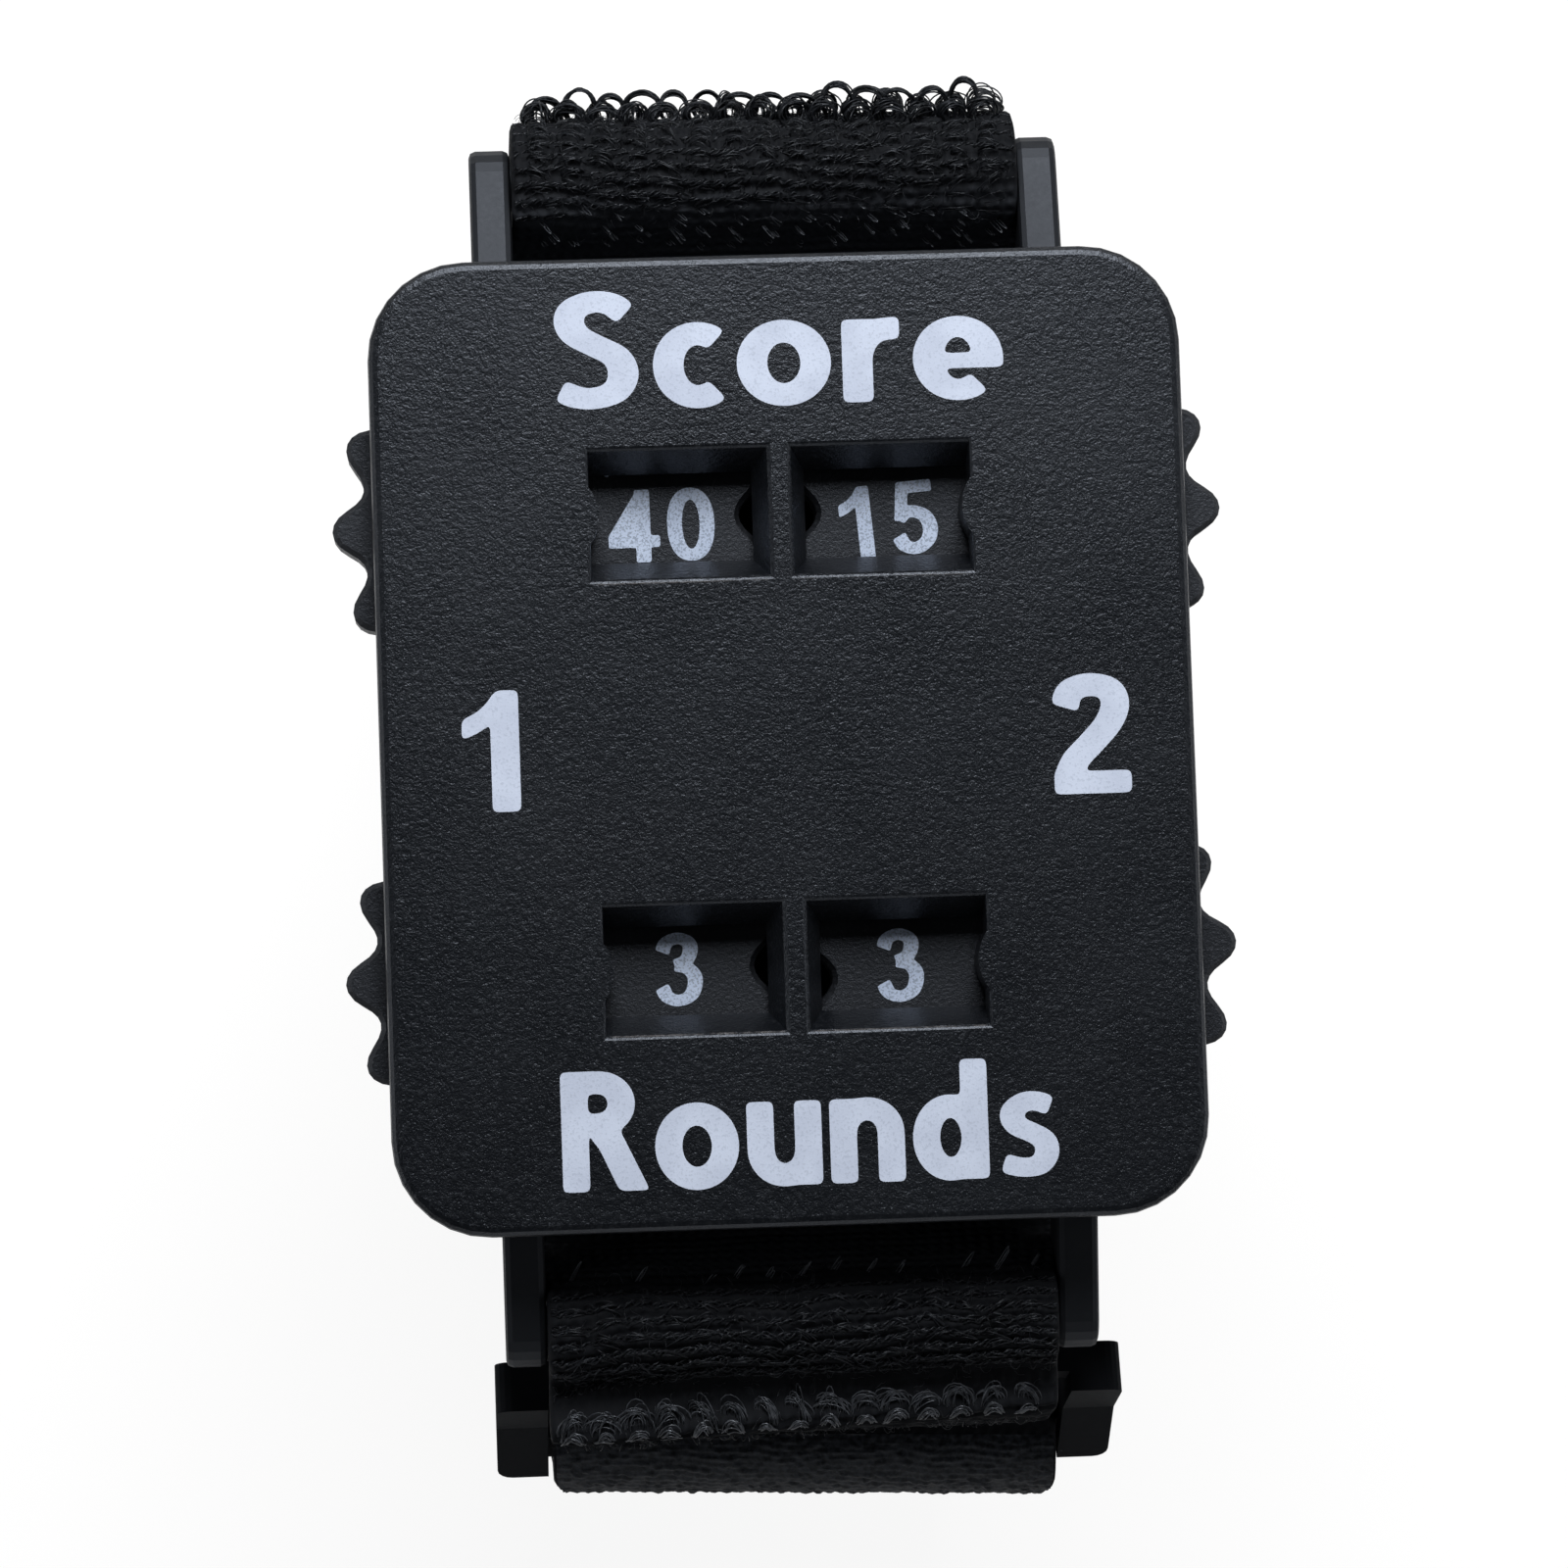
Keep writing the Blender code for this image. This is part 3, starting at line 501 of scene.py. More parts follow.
def joined(shapes, corner):
    # One flat outline with no seams, and with round corners as ink has them
    flat, _, rim = united(shapes)
    after = {}
    for a, b in rim:
        after.setdefault(a, []).append(b)
    loops = []
    while any(after.values()):
        start = next(a for a, ends in after.items() if ends)
        loop = [start]
        while (here := after[loop[-1]].pop()) != start:
            loop.append(here)
        loops.append([flat[index] for index in loop])
    return united([softened(loop, corner).tolist() for loop in loops if len(loop) > 3], holes=True)


def inkMesh(name, marks, low, high):
    # A flat sheet for each mark, with sides that go down into the face
    verts, faces = [], []
    for mark in marks:
        glyphs = alphabet(mark["pen"])
        letters = [glyphs[letter] for letter in mark["text"]]
        cursor = -(sum(wide for _, wide in letters) + mark["gap"] * (len(letters) - 1)) / 2
        turn = Matrix.Rotation(mark.get("turn", 0), 2)
        for shapes, wide in letters:
            flat, tops, rim = joined(shapes, mark["corner"])
            base, count = len(verts), len(flat)
            for level in (high, low):
                for point in flat:
                    place = Vector(((point.x + cursor) * mark["stretch"], point.y - mark["middle"]))
                    place = turn @ place * mark["size"] + Vector(mark["at"])
                    verts.append((place.x, place.y, level))
            for a, b, c in tops:
                faces.append((base + a, base + b, base + c))
                faces.append((base + count + c, base + count + b, base + count + a))
            faces += [(base + b, base + a, base + a + count, base + b + count) for a, b in rim]
            cursor += wide + mark["gap"]
    mesh = bpy.data.meshes.new(name)
    mesh.from_pydata(verts, [], faces)
    return mesh


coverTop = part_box("front_cover")[1].z
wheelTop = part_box("upper_wheel_left")[1].z
printing = {"inkHeight": 0.022 * mm, "inkSunk": 0.03 * mm}
# Pen, gap, middle and corner are shares of the capital height, which is the size
wordPrint = {"pen": 0.235, "gap": 0.085, "size": 6.0 * mm, "stretch": 1.0, "middle": 0.5, "corner": 0.055}
coverMarks = [
    dict(wordPrint, text="Score", at=(0.15 * mm, 19.80 * mm), stretch=1.09),
    dict(wordPrint, text="Rounds", at=(0.50 * mm, -19.40 * mm), stretch=0.96, gap=0.07),
    dict(wordPrint, text="1", at=(-14.6 * mm, -0.25 * mm), size=6.1 * mm),
    dict(wordPrint, text="2", at=(15.3 * mm, -0.25 * mm), size=6.1 * mm),
]
mesh = inkMesh("cover_lettering", coverMarks, coverTop - printing["inkSunk"], coverTop + printing["inkHeight"])
addPiece("cover_lettering", mesh, coverInk, "case", smooth=False)

# Number rings: the number that shows is upright beside its wheel's axis, the others are turned on
numberPrint = {"pen": 0.205, "gap": 0.0, "size": 3.70 * mm, "stretch": 1.0, "middle": 0.5, "corner": 0.035}
numberRing = {"x": 11.55 * mm, "y": 11.45 * mm, "shown": {
    "upper_wheel_left": ("40", 5.68, -0.28, 0.6), "upper_wheel_right": ("15", 6.02, -0.34, 4.6),
    "lower_wheel_left": ("3", 5.77, 0.10, 0.5), "lower_wheel_right": ("3", 6.14, -0.05, 1.0)}}
for name in wheelNames:
    side = -1 if name.endswith("left") else 1
    end = 1 if name.startswith("upper") else -1
    counts = ["0", "15", "30", "40", "Ad"] if end > 0 else [str(count) for count in range(7)]
    shown, radius, rise, tilt = numberRing["shown"][name]
    centre = (side * numberRing["x"], end * numberRing["y"])
    marks = []
    for index, text in enumerate(counts):
        spin = (index - counts.index(shown)) * 2 * math.pi / len(counts)
        reach = Matrix.Rotation(spin, 2) @ Vector((-side * radius * mm, rise * mm))
        place = (centre[0] + reach.x, centre[1] + reach.y)
        marks.append(dict(numberPrint, text=text, turn=spin + math.radians(tilt), at=place))
    mesh = inkMesh(name + "_numbers", marks, wheelTop - printing["inkSunk"], wheelTop + printing["inkHeight"])
    addPiece(name + "_numbers", mesh, wheelInk, name, smooth=False)
print("printed marks made")

# The strap's path, the same as that of the CAD band
strap = {
    "width": 25.4 * mm, "solid": 1.8 * mm, "gap": 0.3 * mm, "hook": 1.0 * mm, "hookLength": 56 * mm,
    "wristHeight": 38 * mm, "wristCorner": 19.1 * mm, "tailReach": 16 * mm, "lapReach": 12 * mm,
    "lapBendBack": 10.4 * mm, "lapBendRadius": 6 * mm, "ringReach": 8.5 * mm, "ringPlay": 0.4 * mm,
    "ringOut": 2.6 * mm, "ringDrop": 3.0 * mm, "ringLean": math.radians(22), "barRadius": 1.2420 * mm,
    "lugBarHeight": 1.9 * mm, "lugBarRadius": 1.3 * mm, "backEdge": 1.0 * mm, "pastLugs": 1.7 * mm,
    "lugReach": 4.9 * mm,
}
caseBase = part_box("back_case")[0].z
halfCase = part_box("front_cover")[1].y
lugBarY = halfCase + strap["lugReach"]


def strapStops():
    half = strap["solid"] / 2
    tailZ = half
    bandZ = tailZ + strap["solid"] + strap["hook"] + 2 * strap["gap"]
    lapZ = bandZ + strap["solid"] + strap["wristHeight"]
    pivot = (-lugBarY - strap["ringOut"], caseBase - strap["ringDrop"])
    barBend = strap["barRadius"] + strap["gap"] + half
    lugBend = strap["lugBarRadius"] + strap["gap"] + half
    edgeBend = strap["backEdge"] + strap["gap"] + half
    wristBend = strap["wristCorner"] + half
    away = strap["ringReach"] + strap["ringPlay"]
    loose = (pivot[0] - away * math.sin(strap["ringLean"]), pivot[1] - away * math.cos(strap["ringLean"]))
    edgeY = halfCase - strap["backEdge"]
    edgeZ = caseBase + strap["backEdge"]
    barZ = caseBase + strap["lugBarHeight"]
    side = lugBarY + strap["pastLugs"] - strap["wristCorner"]
    cornerZ = bandZ + wristBend
    return [
        (-strap["lapReach"], lapZ, 0, 0),
        (strap["lapBendBack"] - lugBarY, lapZ - strap["lapBendRadius"], strap["lapBendRadius"], 1),
        (*pivot, barBend, -1),
        (-lugBarY, barZ, lugBend, -1),
        (-edgeY, edgeZ, edgeBend, 1),
        (edgeY, edgeZ, edgeBend, 1),
        (lugBarY, barZ, lugBend, -1),
        (side, cornerZ, wristBend, -1),
        (-side, cornerZ, wristBend, -1),
        (*loose, barBend + strap["ringPlay"], 1),
        (-side, cornerZ, wristBend + bandZ - tailZ, 1),
        (strap["tailReach"], tailZ, 0, 0),
    ]


class StrapPath:
    # Place, heading and length along the middle of the band; the pile is on the left of the heading
    def __init__(self, stops):
        headings = []
        for (y1, z1, r1, t1), (y2, z2, r2, t2) in zip(stops, stops[1:]):
            span = math.hypot(y2 - y1, z2 - z1)
            slip = math.asin((t2 * r2 - t1 * r1) / span)
            headings.append(math.atan2(z2 - z1, y2 - y1) - slip)
        heading = headings[0]
        rows = [(*stops[0][:2], heading)]
        middles = []
        for (y, z, radius, turn), before, after in zip(stops[1:-1], headings, headings[1:]):
            sweep = turn * ((turn * (after - before)) % (2 * math.pi))
            steps = max(4, math.ceil(abs(sweep) / math.radians(2)))
            middles.append(len(rows) + steps // 2)
            for step in range(steps + 1):
                angle = heading + sweep * step / steps
                rows.append((y + math.sin(angle) * radius * turn, z - math.cos(angle) * radius * turn, angle))
            heading += sweep
        rows.append((*stops[-1][:2], heading))
        self.rows = np.array(rows)
        steps = np.hypot(np.diff(self.rows[:, 0]), np.diff(self.rows[:, 1]))
        self.lengths = np.concatenate([[0], np.cumsum(steps)])
        self.length = self.lengths[-1]
        self.bends = self.lengths[middles]

    def at(self, s):
        y = np.interp(s, self.lengths, self.rows[:, 0])
        z = np.interp(s, self.lengths, self.rows[:, 1])
        heading = np.interp(s, self.lengths, self.rows[:, 2])
        return y, z, heading

    def lay(self, x, s, height):
        # Points from strap coordinates: across, along and up towards the pile. Here and there the cloth
        # runs a little wider, to one side, askew or further out
        y, z, heading = self.at(s)
        ways = ("wide", "aside", "askew", "proud")
        wide, aside, askew, proud = (np.interp(s / mm, sway["at"], sway[way]) for way in ways)
        x = x * (1 + wide) + aside * mm
        height = height + proud * mm
        return np.stack([x, y - np.sin(heading) * height - askew * x, z + np.cos(heading) * height], axis=-1)


path = StrapPath(strapStops())
foldRun = np.arange(225, 241, 0.02) * mm  # the tail's fold round the ring's free bar
tip = foldRun[np.argmin(path.at(foldRun)[0])] / mm
# All along the strap in mm. The fold's corners are rounded off at its tip
sway = {
    "at": [35.5, 38, 47, 50, 83, 86, 93.0, 94.2, 97, 104, 112, 212, 223,
           tip - 1.9, tip - 1.0, tip - 0.45, tip, tip + 0.45, tip + 1.0, tip + 1.9, 240, 250],
    "wide": [0, 0.035, 0.035, 0, 0, 0.035, 0.035, 0, 0, 0, 0, 0, 0.020,
             0.020, 0.010, -0.008, -0.027, -0.008, 0.010, 0.020, 0.020, 0],
    "aside": [0] * 12 + [0.50] * 9 + [0],
    "askew": [0] * 8 + [0.001, 0.001, 0, 0] + [0.040] * 9 + [0],
    "proud": [0] * 8 + [0.15, 0.15] + [0] * 12,
}
print("strap path:", round(path.length / mm, 1), "mm")

weave = {
    "rowPitch": 0.60 * mm, "columns": 15, "ground": 0.40 * mm, "relief": 0.30 * mm, "knot": 0.26,
    "rough": 0.025 * mm,
    "halfWidth": 12.96 * mm, "edge": 0.62 * mm, "edgeShare": 0.84, "pointsAcross": 64, "plainAcross": 14,
    "seed": 41,
    "fineAt": [0, 23, 24, 40, 41, 90, 91, 106, 107, 400],
    "fineStep": [0.36, 0.36, 0.13, 0.13, 0.40, 0.40, 0.13, 0.13, 0.36, 0.36],
    # The roll of cloth over the ring's bar, then the dip beside the lug: how far out the cloth stands
    "rollAt": [23.5, 25.0, 26.5, 28.0, 28.9, 29.35, 29.8, 30.3, 31.0, 31.4],
    "roll": [0, 0.28, 0.95, 1.69, 2.04, 1.80, 0.56, -0.35, -0.28, 0],
    "rollTilt": 0.26, "thinFold": (233.0 * mm, 6.0 * mm, 0.40 * mm),
    # Where the courses stand out, and where they lie nearly flat. The end at the top runs askew
    "reliefAt": [23, 25, 34.8, 36.2, 96.0, 96.8, 105, 106], "reliefShare": [0.2, 1, 1, 0.2, 0.2, 1, 0.4, 0.2],
    "endAskew": 0.06,
    # How far the courses run off square, and where along the strap
    "skewAt": [0, 24 * mm, 31 * mm, 34 * mm, 36 * mm, 46 * mm, 88 * mm, 98 * mm, 112 * mm],
    "skew": [0, 0.020, 0.042, 0.012, 0.006, 0, 0, -0.060, 0],
    # How they wander: how far, and the length of a wave across and along, over 2 pi
    "wander": [(0.13 * mm, 2.1 * mm, 1.9 * mm), (0.07 * mm, 0.8 * mm, -2.7 * mm)],
}
columnPitch = 2 * (weave["halfWidth"] - weave["edge"]) / weave["columns"]

# The roll's height every 0.1 mm, each the mean over 0.7 mm
rollTable = np.linspace(22, 33, 111)
rollRise = np.interp(np.linspace(21.7, 33.3, 117), weave["rollAt"], weave["roll"])
rollRise = np.convolve(rollRise, np.ones(7) / 7, "valid")


def roll(s, x=0.0):
    return np.interp(s / mm, rollTable, rollRise) * mm * (1 - weave["rollTilt"] * x / weave["halfWidth"])


bedAlong = np.arange(0, path.length, 0.05 * mm)
bedRise = roll(bedAlong)
bedLength = np.concatenate([[0], np.cumsum(np.hypot(np.diff(bedAlong), np.diff(bedRise)))])
bedSlope = np.gradient(bedRise, bedAlong)


def overBed(x, s0, further, height):
    # Strap coordinates of a point over the cloth: further along its surface, and up from it
    u = np.interp(s0, bedAlong, bedLength) + further
    slope = np.interp(u, bedLength, bedSlope)
    s = np.interp(u, bedLength, bedAlong) - height * slope / np.hypot(slope, 1)
    rise = np.interp(u, bedLength, bedRise) * (1 - weave["rollTilt"] * x / weave["halfWidth"])
    return s, rise + height / np.hypot(slope, 1)


def hump(s, place, reach, height):
    return height * np.exp(-((s - place) / reach) ** 2)


def wander(x, s, waves):
    return sum(far * np.sin(x / across + s / along) for far, across, along in waves)


def rowShift(x, s):
    # The courses are pulled askew at each lug, and wander a little
    return np.interp(s, weave["skewAt"], weave["skew"]) * x + wander(x, s, weave["wander"])


def courseShare(x, s):
    # How much of the knitted relief shows: 0.2 where the pile is drawn flat, 1 on the lugs
    end = np.where(s > 60 * mm, weave["endAskew"] * x, 0)
    return np.interp((s - end) / mm, weave["reliefAt"], weave["reliefShare"])


def groundRise(x, s):
    # Knitted courses across the strap, knotted at each column, over the woven ground
    course = 0.5 + 0.5 * np.cos(2 * np.pi * (s - rowShift(x, s)) / weave["rowPitch"])
    knots = 0.5 + 0.5 * np.cos(2 * np.pi * x / columnPitch)
    relief = weave["relief"] * courseShare(x, s) * course ** 0.8 * (1 - weave["knot"] * (1 - knots))
    return weave["ground"] + relief + roll(s, x)


def strapGround():
    half, edge = weave["halfWidth"], weave["edge"]
    steps = [0.0]
    while steps[-1] < path.length:
        steps.append(steps[-1] + np.interp(steps[-1] / mm, weave["fineAt"], weave["fineStep"]) * mm)
    s = np.array(steps) * path.length / steps[-1]
    under = -strap["solid"] / 2 + hump(s, *weave["thinFold"])
    # The section: across, how far out in mm where that is fixed, and which side it is on
    corner = [(half - edge * 0.16, 0.42), (half, 0.10), (half, -0.45), (half - edge * 0.22, -0.80)]
    pileSide = np.linspace(-half + edge * 0.5, half - edge * 0.5, weave["pointsAcross"])
    plainSide = np.linspace(half - edge * 0.7, -half + edge * 0.7, weave["plainAcross"])
    profile = [(x, None, 1.0) for x in pileSide]
    profile += [(x, height * mm, 0.0) for x, height in corner]
    profile += [(x, -1, -1.0) for x in plainSide]
    profile += [(-x, height * mm, 0.0) for x, height in reversed(corner)]
    dice = np.random.default_rng(weave["seed"])
    columns, layers = [], []
    for x, height, side in profile:
        xs = np.full_like(s, x)
        if height is None:
            inset = np.clip((half - abs(x)) / (edge * 1.1), 0, 1) ** 0.5
            rise = groundRise(xs, s) + weave["rough"] * dice.standard_normal(len(s))
            rise = rise * (weave["edgeShare"] + (1 - weave["edgeShare"]) * inset)
        elif side < 0:
            rise = under
        else:
            rise = height + (roll(s, x) if height > 0 else hump(s, *weave["thinFold"]) * (height < -0.5 * mm))
        columns.append(path.lay(xs, s, rise))
        layers.append(np.stack([xs / mm, s / mm, np.full_like(s, side)], axis=-1))
    mesh = gridMesh("strap_ground", np.stack(columns, axis=1))
    attribute = mesh.attributes.new("lay", "FLOAT_VECTOR", "POINT")
    attribute.data.foreach_set("vector", np.stack(layers, axis=1).reshape(-1).astype(np.float32))
    shape = bmesh.new()
    shape.from_mesh(mesh)
    shape.verts.ensure_lookup_table()
    count = len(profile)
    for first in (0, (len(s) - 1) * count):
        shape.faces.new([shape.verts[first + step] for step in range(count)])
    bmesh.ops.recalc_face_normals(shape, faces=shape.faces)
    return meshOf(shape, mesh)


ground = addPiece("strap_ground", strapGround(), clothFinish, "case")
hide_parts("strap_band")
print("strap ground made:", len(ground.data.polygons), "faces")

# The pile: rows of yarn loops, which lie, lean or stand in another way at each place along the strap.
# A style's lengths are in mm; wrap is how far round a loop closes, in degrees
pile = {
    "points": 10, "finePoints": 20, "seed": 77, "base": 0.46 * mm, "wristPitch": 0.86, "margin": 0.06 * mm,
    "shift": {"ring": 0.55, "crest": -0.30, "fan": -0.30}, "pulled": -0.11 * mm, "fanPull": 0.013,
    "tickGaps": 0.22, "tickTall": (0.6, 1.3), "ringTilt": 0.20, "ringTall": (0.28, 0.86), "loose": 0.07,
    # How far a loop departs from its style, and its yarns from each other: shares, and shares of stray
    "tall": (0.80, 1.20), "half": (0.88, 1.12), "round": 0.06, "lean": 0.12,
    "strayTall": 0.7, "strayTurn": 0.8, "strayAside": 0.35 * mm,
    "styles": {
        "pile": dict(tall=1.00, half=0.46, wrap=148, along=0.15, turn=14, yarns=2, radius=0.055, stray=0.15),
        "pressed": dict(tall=0.32, half=0.50, wrap=110, along=0.5, turn=25, yarns=2, radius=0.055, stray=0.2),
        "knit": dict(tall=0.36, half=0.52, wrap=112, along=0.5, turn=12, yarns=4, radius=0.034, stray=0.24),
        "tick": dict(tall=0.92, half=0.07, wrap=110, along=0.1, turn=12, yarns=2, radius=0.032, stray=0.3,
                     sideways=0.55),
        "ring": dict(tall=1.40, half=0.80, wrap=154, along=0.0, turn=10, yarns=11, radius=0.055, stray=0.085),
        "tuft": dict(tall=1.05, half=0.64, wrap=142, along=0.1, turn=24, yarns=10, radius=0.050, stray=0.24),
        "crest": dict(tall=0.28, half=0.46, wrap=122, along=1.9, turn=12, yarns=9, radius=0.034, stray=0.20),
        "fan": dict(tall=0.30, half=0.58, wrap=108, along=2.3, turn=18, yarns=14, radius=0.034, stray=0.30),
    },
    # Style, from and to along the strap, and the size at each end
    "rows": [
        ("pile", 7.5, 22.5, 0.9, 0.4), ("crest", 28.75, 28.8, 1.1, 1.1), ("fan", 29.50, 29.6, 1.0, 1.0),
        ("knit", 31.2, 34.9, 1.0, 0.9), ("tick", 35.9, 36.0, 0.7, 0.7), ("tick", 93.8, 96.9, 0.45, 0.85),
        ("knit", 96.4, 100.4, 0.85, 1.0), ("tuft", 100.6, 100.7, 0.8, 0.8), ("tuft", 101.1, 101.2, 0.85, 0.85),
        ("ring", 101.3, 101.4, 1.0, 1.0), ("tuft", 101.6, 101.7, 0.9, 0.9), ("pressed", 102.3, 104.0, 0.9, 0.9),
        ("pile", 104.3, 112.0, 0.35, 1.0),
    ],
}
bottomRun = np.linspace(*path.bends[6:8], 400)  # between the wrist loop's two lower corners
tailTipOnBand = bottomRun[np.argmin(np.abs(path.at(bottomRun)[0] - strap["tailReach"]))] + 1.0 * mm
pile["rows"].append(("pile", 112.8, tailTipOnBand / mm, 1.0, 1.0))
pileHalf = weave["halfWidth"] - weave["edge"]


def inside(x, margin):
    return np.clip(x, margin - weave["halfWidth"], weave["halfWidth"] - margin)


def standingLoop(style, x0, s0, scale, points, dice):
    # One loop of several yarns that start and end in the ground
    lines = []
    turn = math.radians(dice.normal(0, style["turn"]))
    tall = style["tall"] * scale * dice.uniform(*pile["tall"]) * mm
    half = style["half"] * dice.uniform(*pile["half"]) * mm
    wrap = math.radians(style["wrap"])
    for yarn in range(style["yarns"]):
        theta = np.linspace(-wrap, wrap, points) + dice.normal(0, pile["round"])
        a = np.sin(theta) * half * (1 + dice.normal(0, style["stray"]))
        h = np.maximum((np.cos(theta) - math.cos(wrap)) / (1 - math.cos(wrap)), -0.1) * tall
        h = h * (1 + dice.normal(0, style["stray"] * pile["strayTall"]))
        angle = turn + dice.normal(0, style["stray"] * pile["strayTurn"])
        drift = dice.normal(0, style["stray"] * pile["strayAside"], 2)
        x = inside(x0 + a * math.cos(angle) + drift[0] + style.get("sideways", 0) * h, pile["margin"])
        further = a * math.sin(angle) + drift[1] + (style["along"] + dice.normal(0, pile["lean"])) * h
        s, rise = overBed(x, s0, further, h)
        lines.append(path.lay(x, s, pile["base"] + rise))
    return lines


def pileMesh(name, rows, points, dice):
    lines, radii = [], []
    more, rare = pile["ringTall"]
    for kind, low, high, scale1, scale2 in rows:
        style = pile["styles"][kind]
        count = max(1, round((high - low) / (pile["wristPitch"] if kind == "pile" else weave["rowPitch"] / mm)))
        for number in range(count):
            s0 = (low + (high - low) * number / count) * mm
            stagger = 0.25 * (number % 2) * (kind in ("pile", "tick", "pressed"))
            for column in range(weave["columns"]):
                if kind == "tick" and dice.uniform() < pile["tickGaps"]:
                    continue
                if kind == "ring" and column == weave["columns"] - 1:
                    continue
                across = column + 0.5 + stagger + dice.uniform(-pile["loose"], pile["loose"])
                x0 = pile["shift"].get(kind, 0) * mm - pileHalf + across * columnPitch
                scale = scale1 + (scale2 - scale1) * number / max(1, count - 1)
                if kind == "ring":
                    scale *= 1 + pile["ringTilt"] * x0 / pileHalf + more * (dice.uniform() > rare)
                if kind == "tick":
                    scale *= dice.uniform(*pile["tickTall"])
                if kind in ("crest", "fan"):
                    pulled = pile["pulled"] + (pile["fanPull"] * min(x0, 0) if kind == "fan" else 0)
                else:
                    pulled = rowShift(x0, s0)
                made = standingLoop(style, x0, s0 + pulled, scale, points, dice)
                lines += made
                radii += [style["radius"] * mm] * len(made)
    return tubeMesh(name, lines, np.array(radii)[:, None])


dice = np.random.default_rng(pile["seed"])
faceCount = 0
pulled = [row for row in pile["rows"] if row[0] in ("crest", "fan", "tick")]
edge = [row for row in pile["rows"] if row[0] in ("ring", "tuft")]
others = [row for row in pile["rows"][:-1] if row not in pulled + edge]
pieceRows = {"strap_pile": others, "edge_pile": edge, "wrist_pile": pile["rows"][-1:], "pulled_pile": pulled}
for name, rows in pieceRows.items():
    # The crest, fan and tick loops get the lighter copy of the pile yarn: painted light
    finish = paintedLightYarnFinish if rows is pulled else pileFinish
    points = pile["finePoints"] if rows is edge else pile["points"]
    piece = addPiece(name, pileMesh(name, rows, points, dice), finish, "case")
    faceCount += len(piece.data.polygons)
print("strap pile made:", faceCount, "faces")

# Long yarns: the knitted courses on the lugs, and the weave on the plain face of the tail
courses = {"yarns": 5, "radius": 0.036 * mm, "swing": 0.10 * mm, "twist": 1.05 * mm, "perColumn": 12,
           "dip": 0.24 * mm, "sunk": 0.6, "rise": 0.85, "margin": 0.18 * mm, "turns": 311, "loose": 2.7,
           "wander": 0.15 * mm, "zones": [(30.8, 35.2), (95.4, 101.2)]}
fuzz = {"zones": [(26.0, 36.0, 420), (95.0, 102.0, 420)], "points": 6, "radius": 0.015 * mm, "long": 0.85 * mm,
        "share": (0.5, 1.3), "curl": 0.55, "bow": (0.05 * mm, 0.35 * mm), "over": 0.25 * mm,
        "margin": 0.05 * mm, "seed": 5}
plainWeave = {"long": 0.62 * mm, "pitch": 0.33 * mm, "tall": 0.19 * mm, "over": 0.01 * mm, "from": 230 * mm,
              "stepAlong": 0.11 * mm, "pointsAcross": 132, "margin": 0.12 * mm, "share": (0.25, 1.0),
              "slant": 0.45, "wander": [(0.35, 1.7 * mm, 0.9 * mm), (0.2, 0.6 * mm, math.inf)]}


def smoothDraws(dice, middle, spread, count):
    # Random values, each the mean of nine
    return np.convolve(dice.normal(middle, spread, count + 8), np.ones(9) / 9, "valid")


def courseMesh():
    dice = np.random.default_rng(weave["seed"] + 1)
    lines = []
    half = weave["halfWidth"] - courses["margin"]
    x = np.linspace(-half, half, weave["columns"] * courses["perColumn"] + 1)
    for low, high in courses["zones"]:
        for s0 in np.arange(low * mm, high * mm, weave["rowPitch"]):
            for yarn in range(courses["yarns"]):
                phase = 2 * np.pi * (x / courses["twist"] + yarn / courses["yarns"] + s0 * courses["turns"])
                phase += smoothDraws(dice, 0, courses["loose"], len(x))
                astray = smoothDraws(dice, 0, courses["wander"], len(x))
                dips = np.clip(smoothDraws(dice, -0.1, 1.0, len(x)) * 3, 0, 1)
                s = s0 + rowShift(x, s0) + courses["swing"] * np.sin(phase) + astray
                share = 1.25 * courseShare(x, s) - 0.25  # 0 where the pile is drawn flat, 1 on the lugs
                lift = weave["relief"] * courses["rise"] + courses["swing"] * np.cos(phase)
                lift = weave["ground"] + lift * share - courses["dip"] * (dips + (1 - share) * courses["sunk"])
                lines.append(path.lay(x, s, lift + roll(s, x)))
    return tubeMesh("strap_courses", lines, courses["radius"])


def fuzzMesh():
    # Loose fibres that curl a little way out of the loops
    dice = np.random.default_rng(fuzz["seed"])
    lines = []
    for low, high, count in fuzz["zones"]:
        for number in range(count):
            heading = np.cumsum(dice.normal(0, fuzz["curl"], fuzz["points"])) + dice.uniform(0, 2 * np.pi)
            step = fuzz["long"] * dice.uniform(*fuzz["share"]) / fuzz["points"]
            x = dice.uniform(-pileHalf, pileHalf) + np.cumsum(np.cos(heading)) * step
            x = inside(x, fuzz["margin"])
            further = np.cumsum(np.sin(heading)) * step
            bow = np.sin(np.linspace(0, np.pi, fuzz["points"])) * dice.uniform(*fuzz["bow"])
            s, rise = overBed(x, dice.uniform(low, high) * mm, further, fuzz["over"] + bow)
            lines.append(path.lay(x, s, pile["base"] + rise))
    return tubeMesh("strap_fuzz", lines, fuzz["radius"])


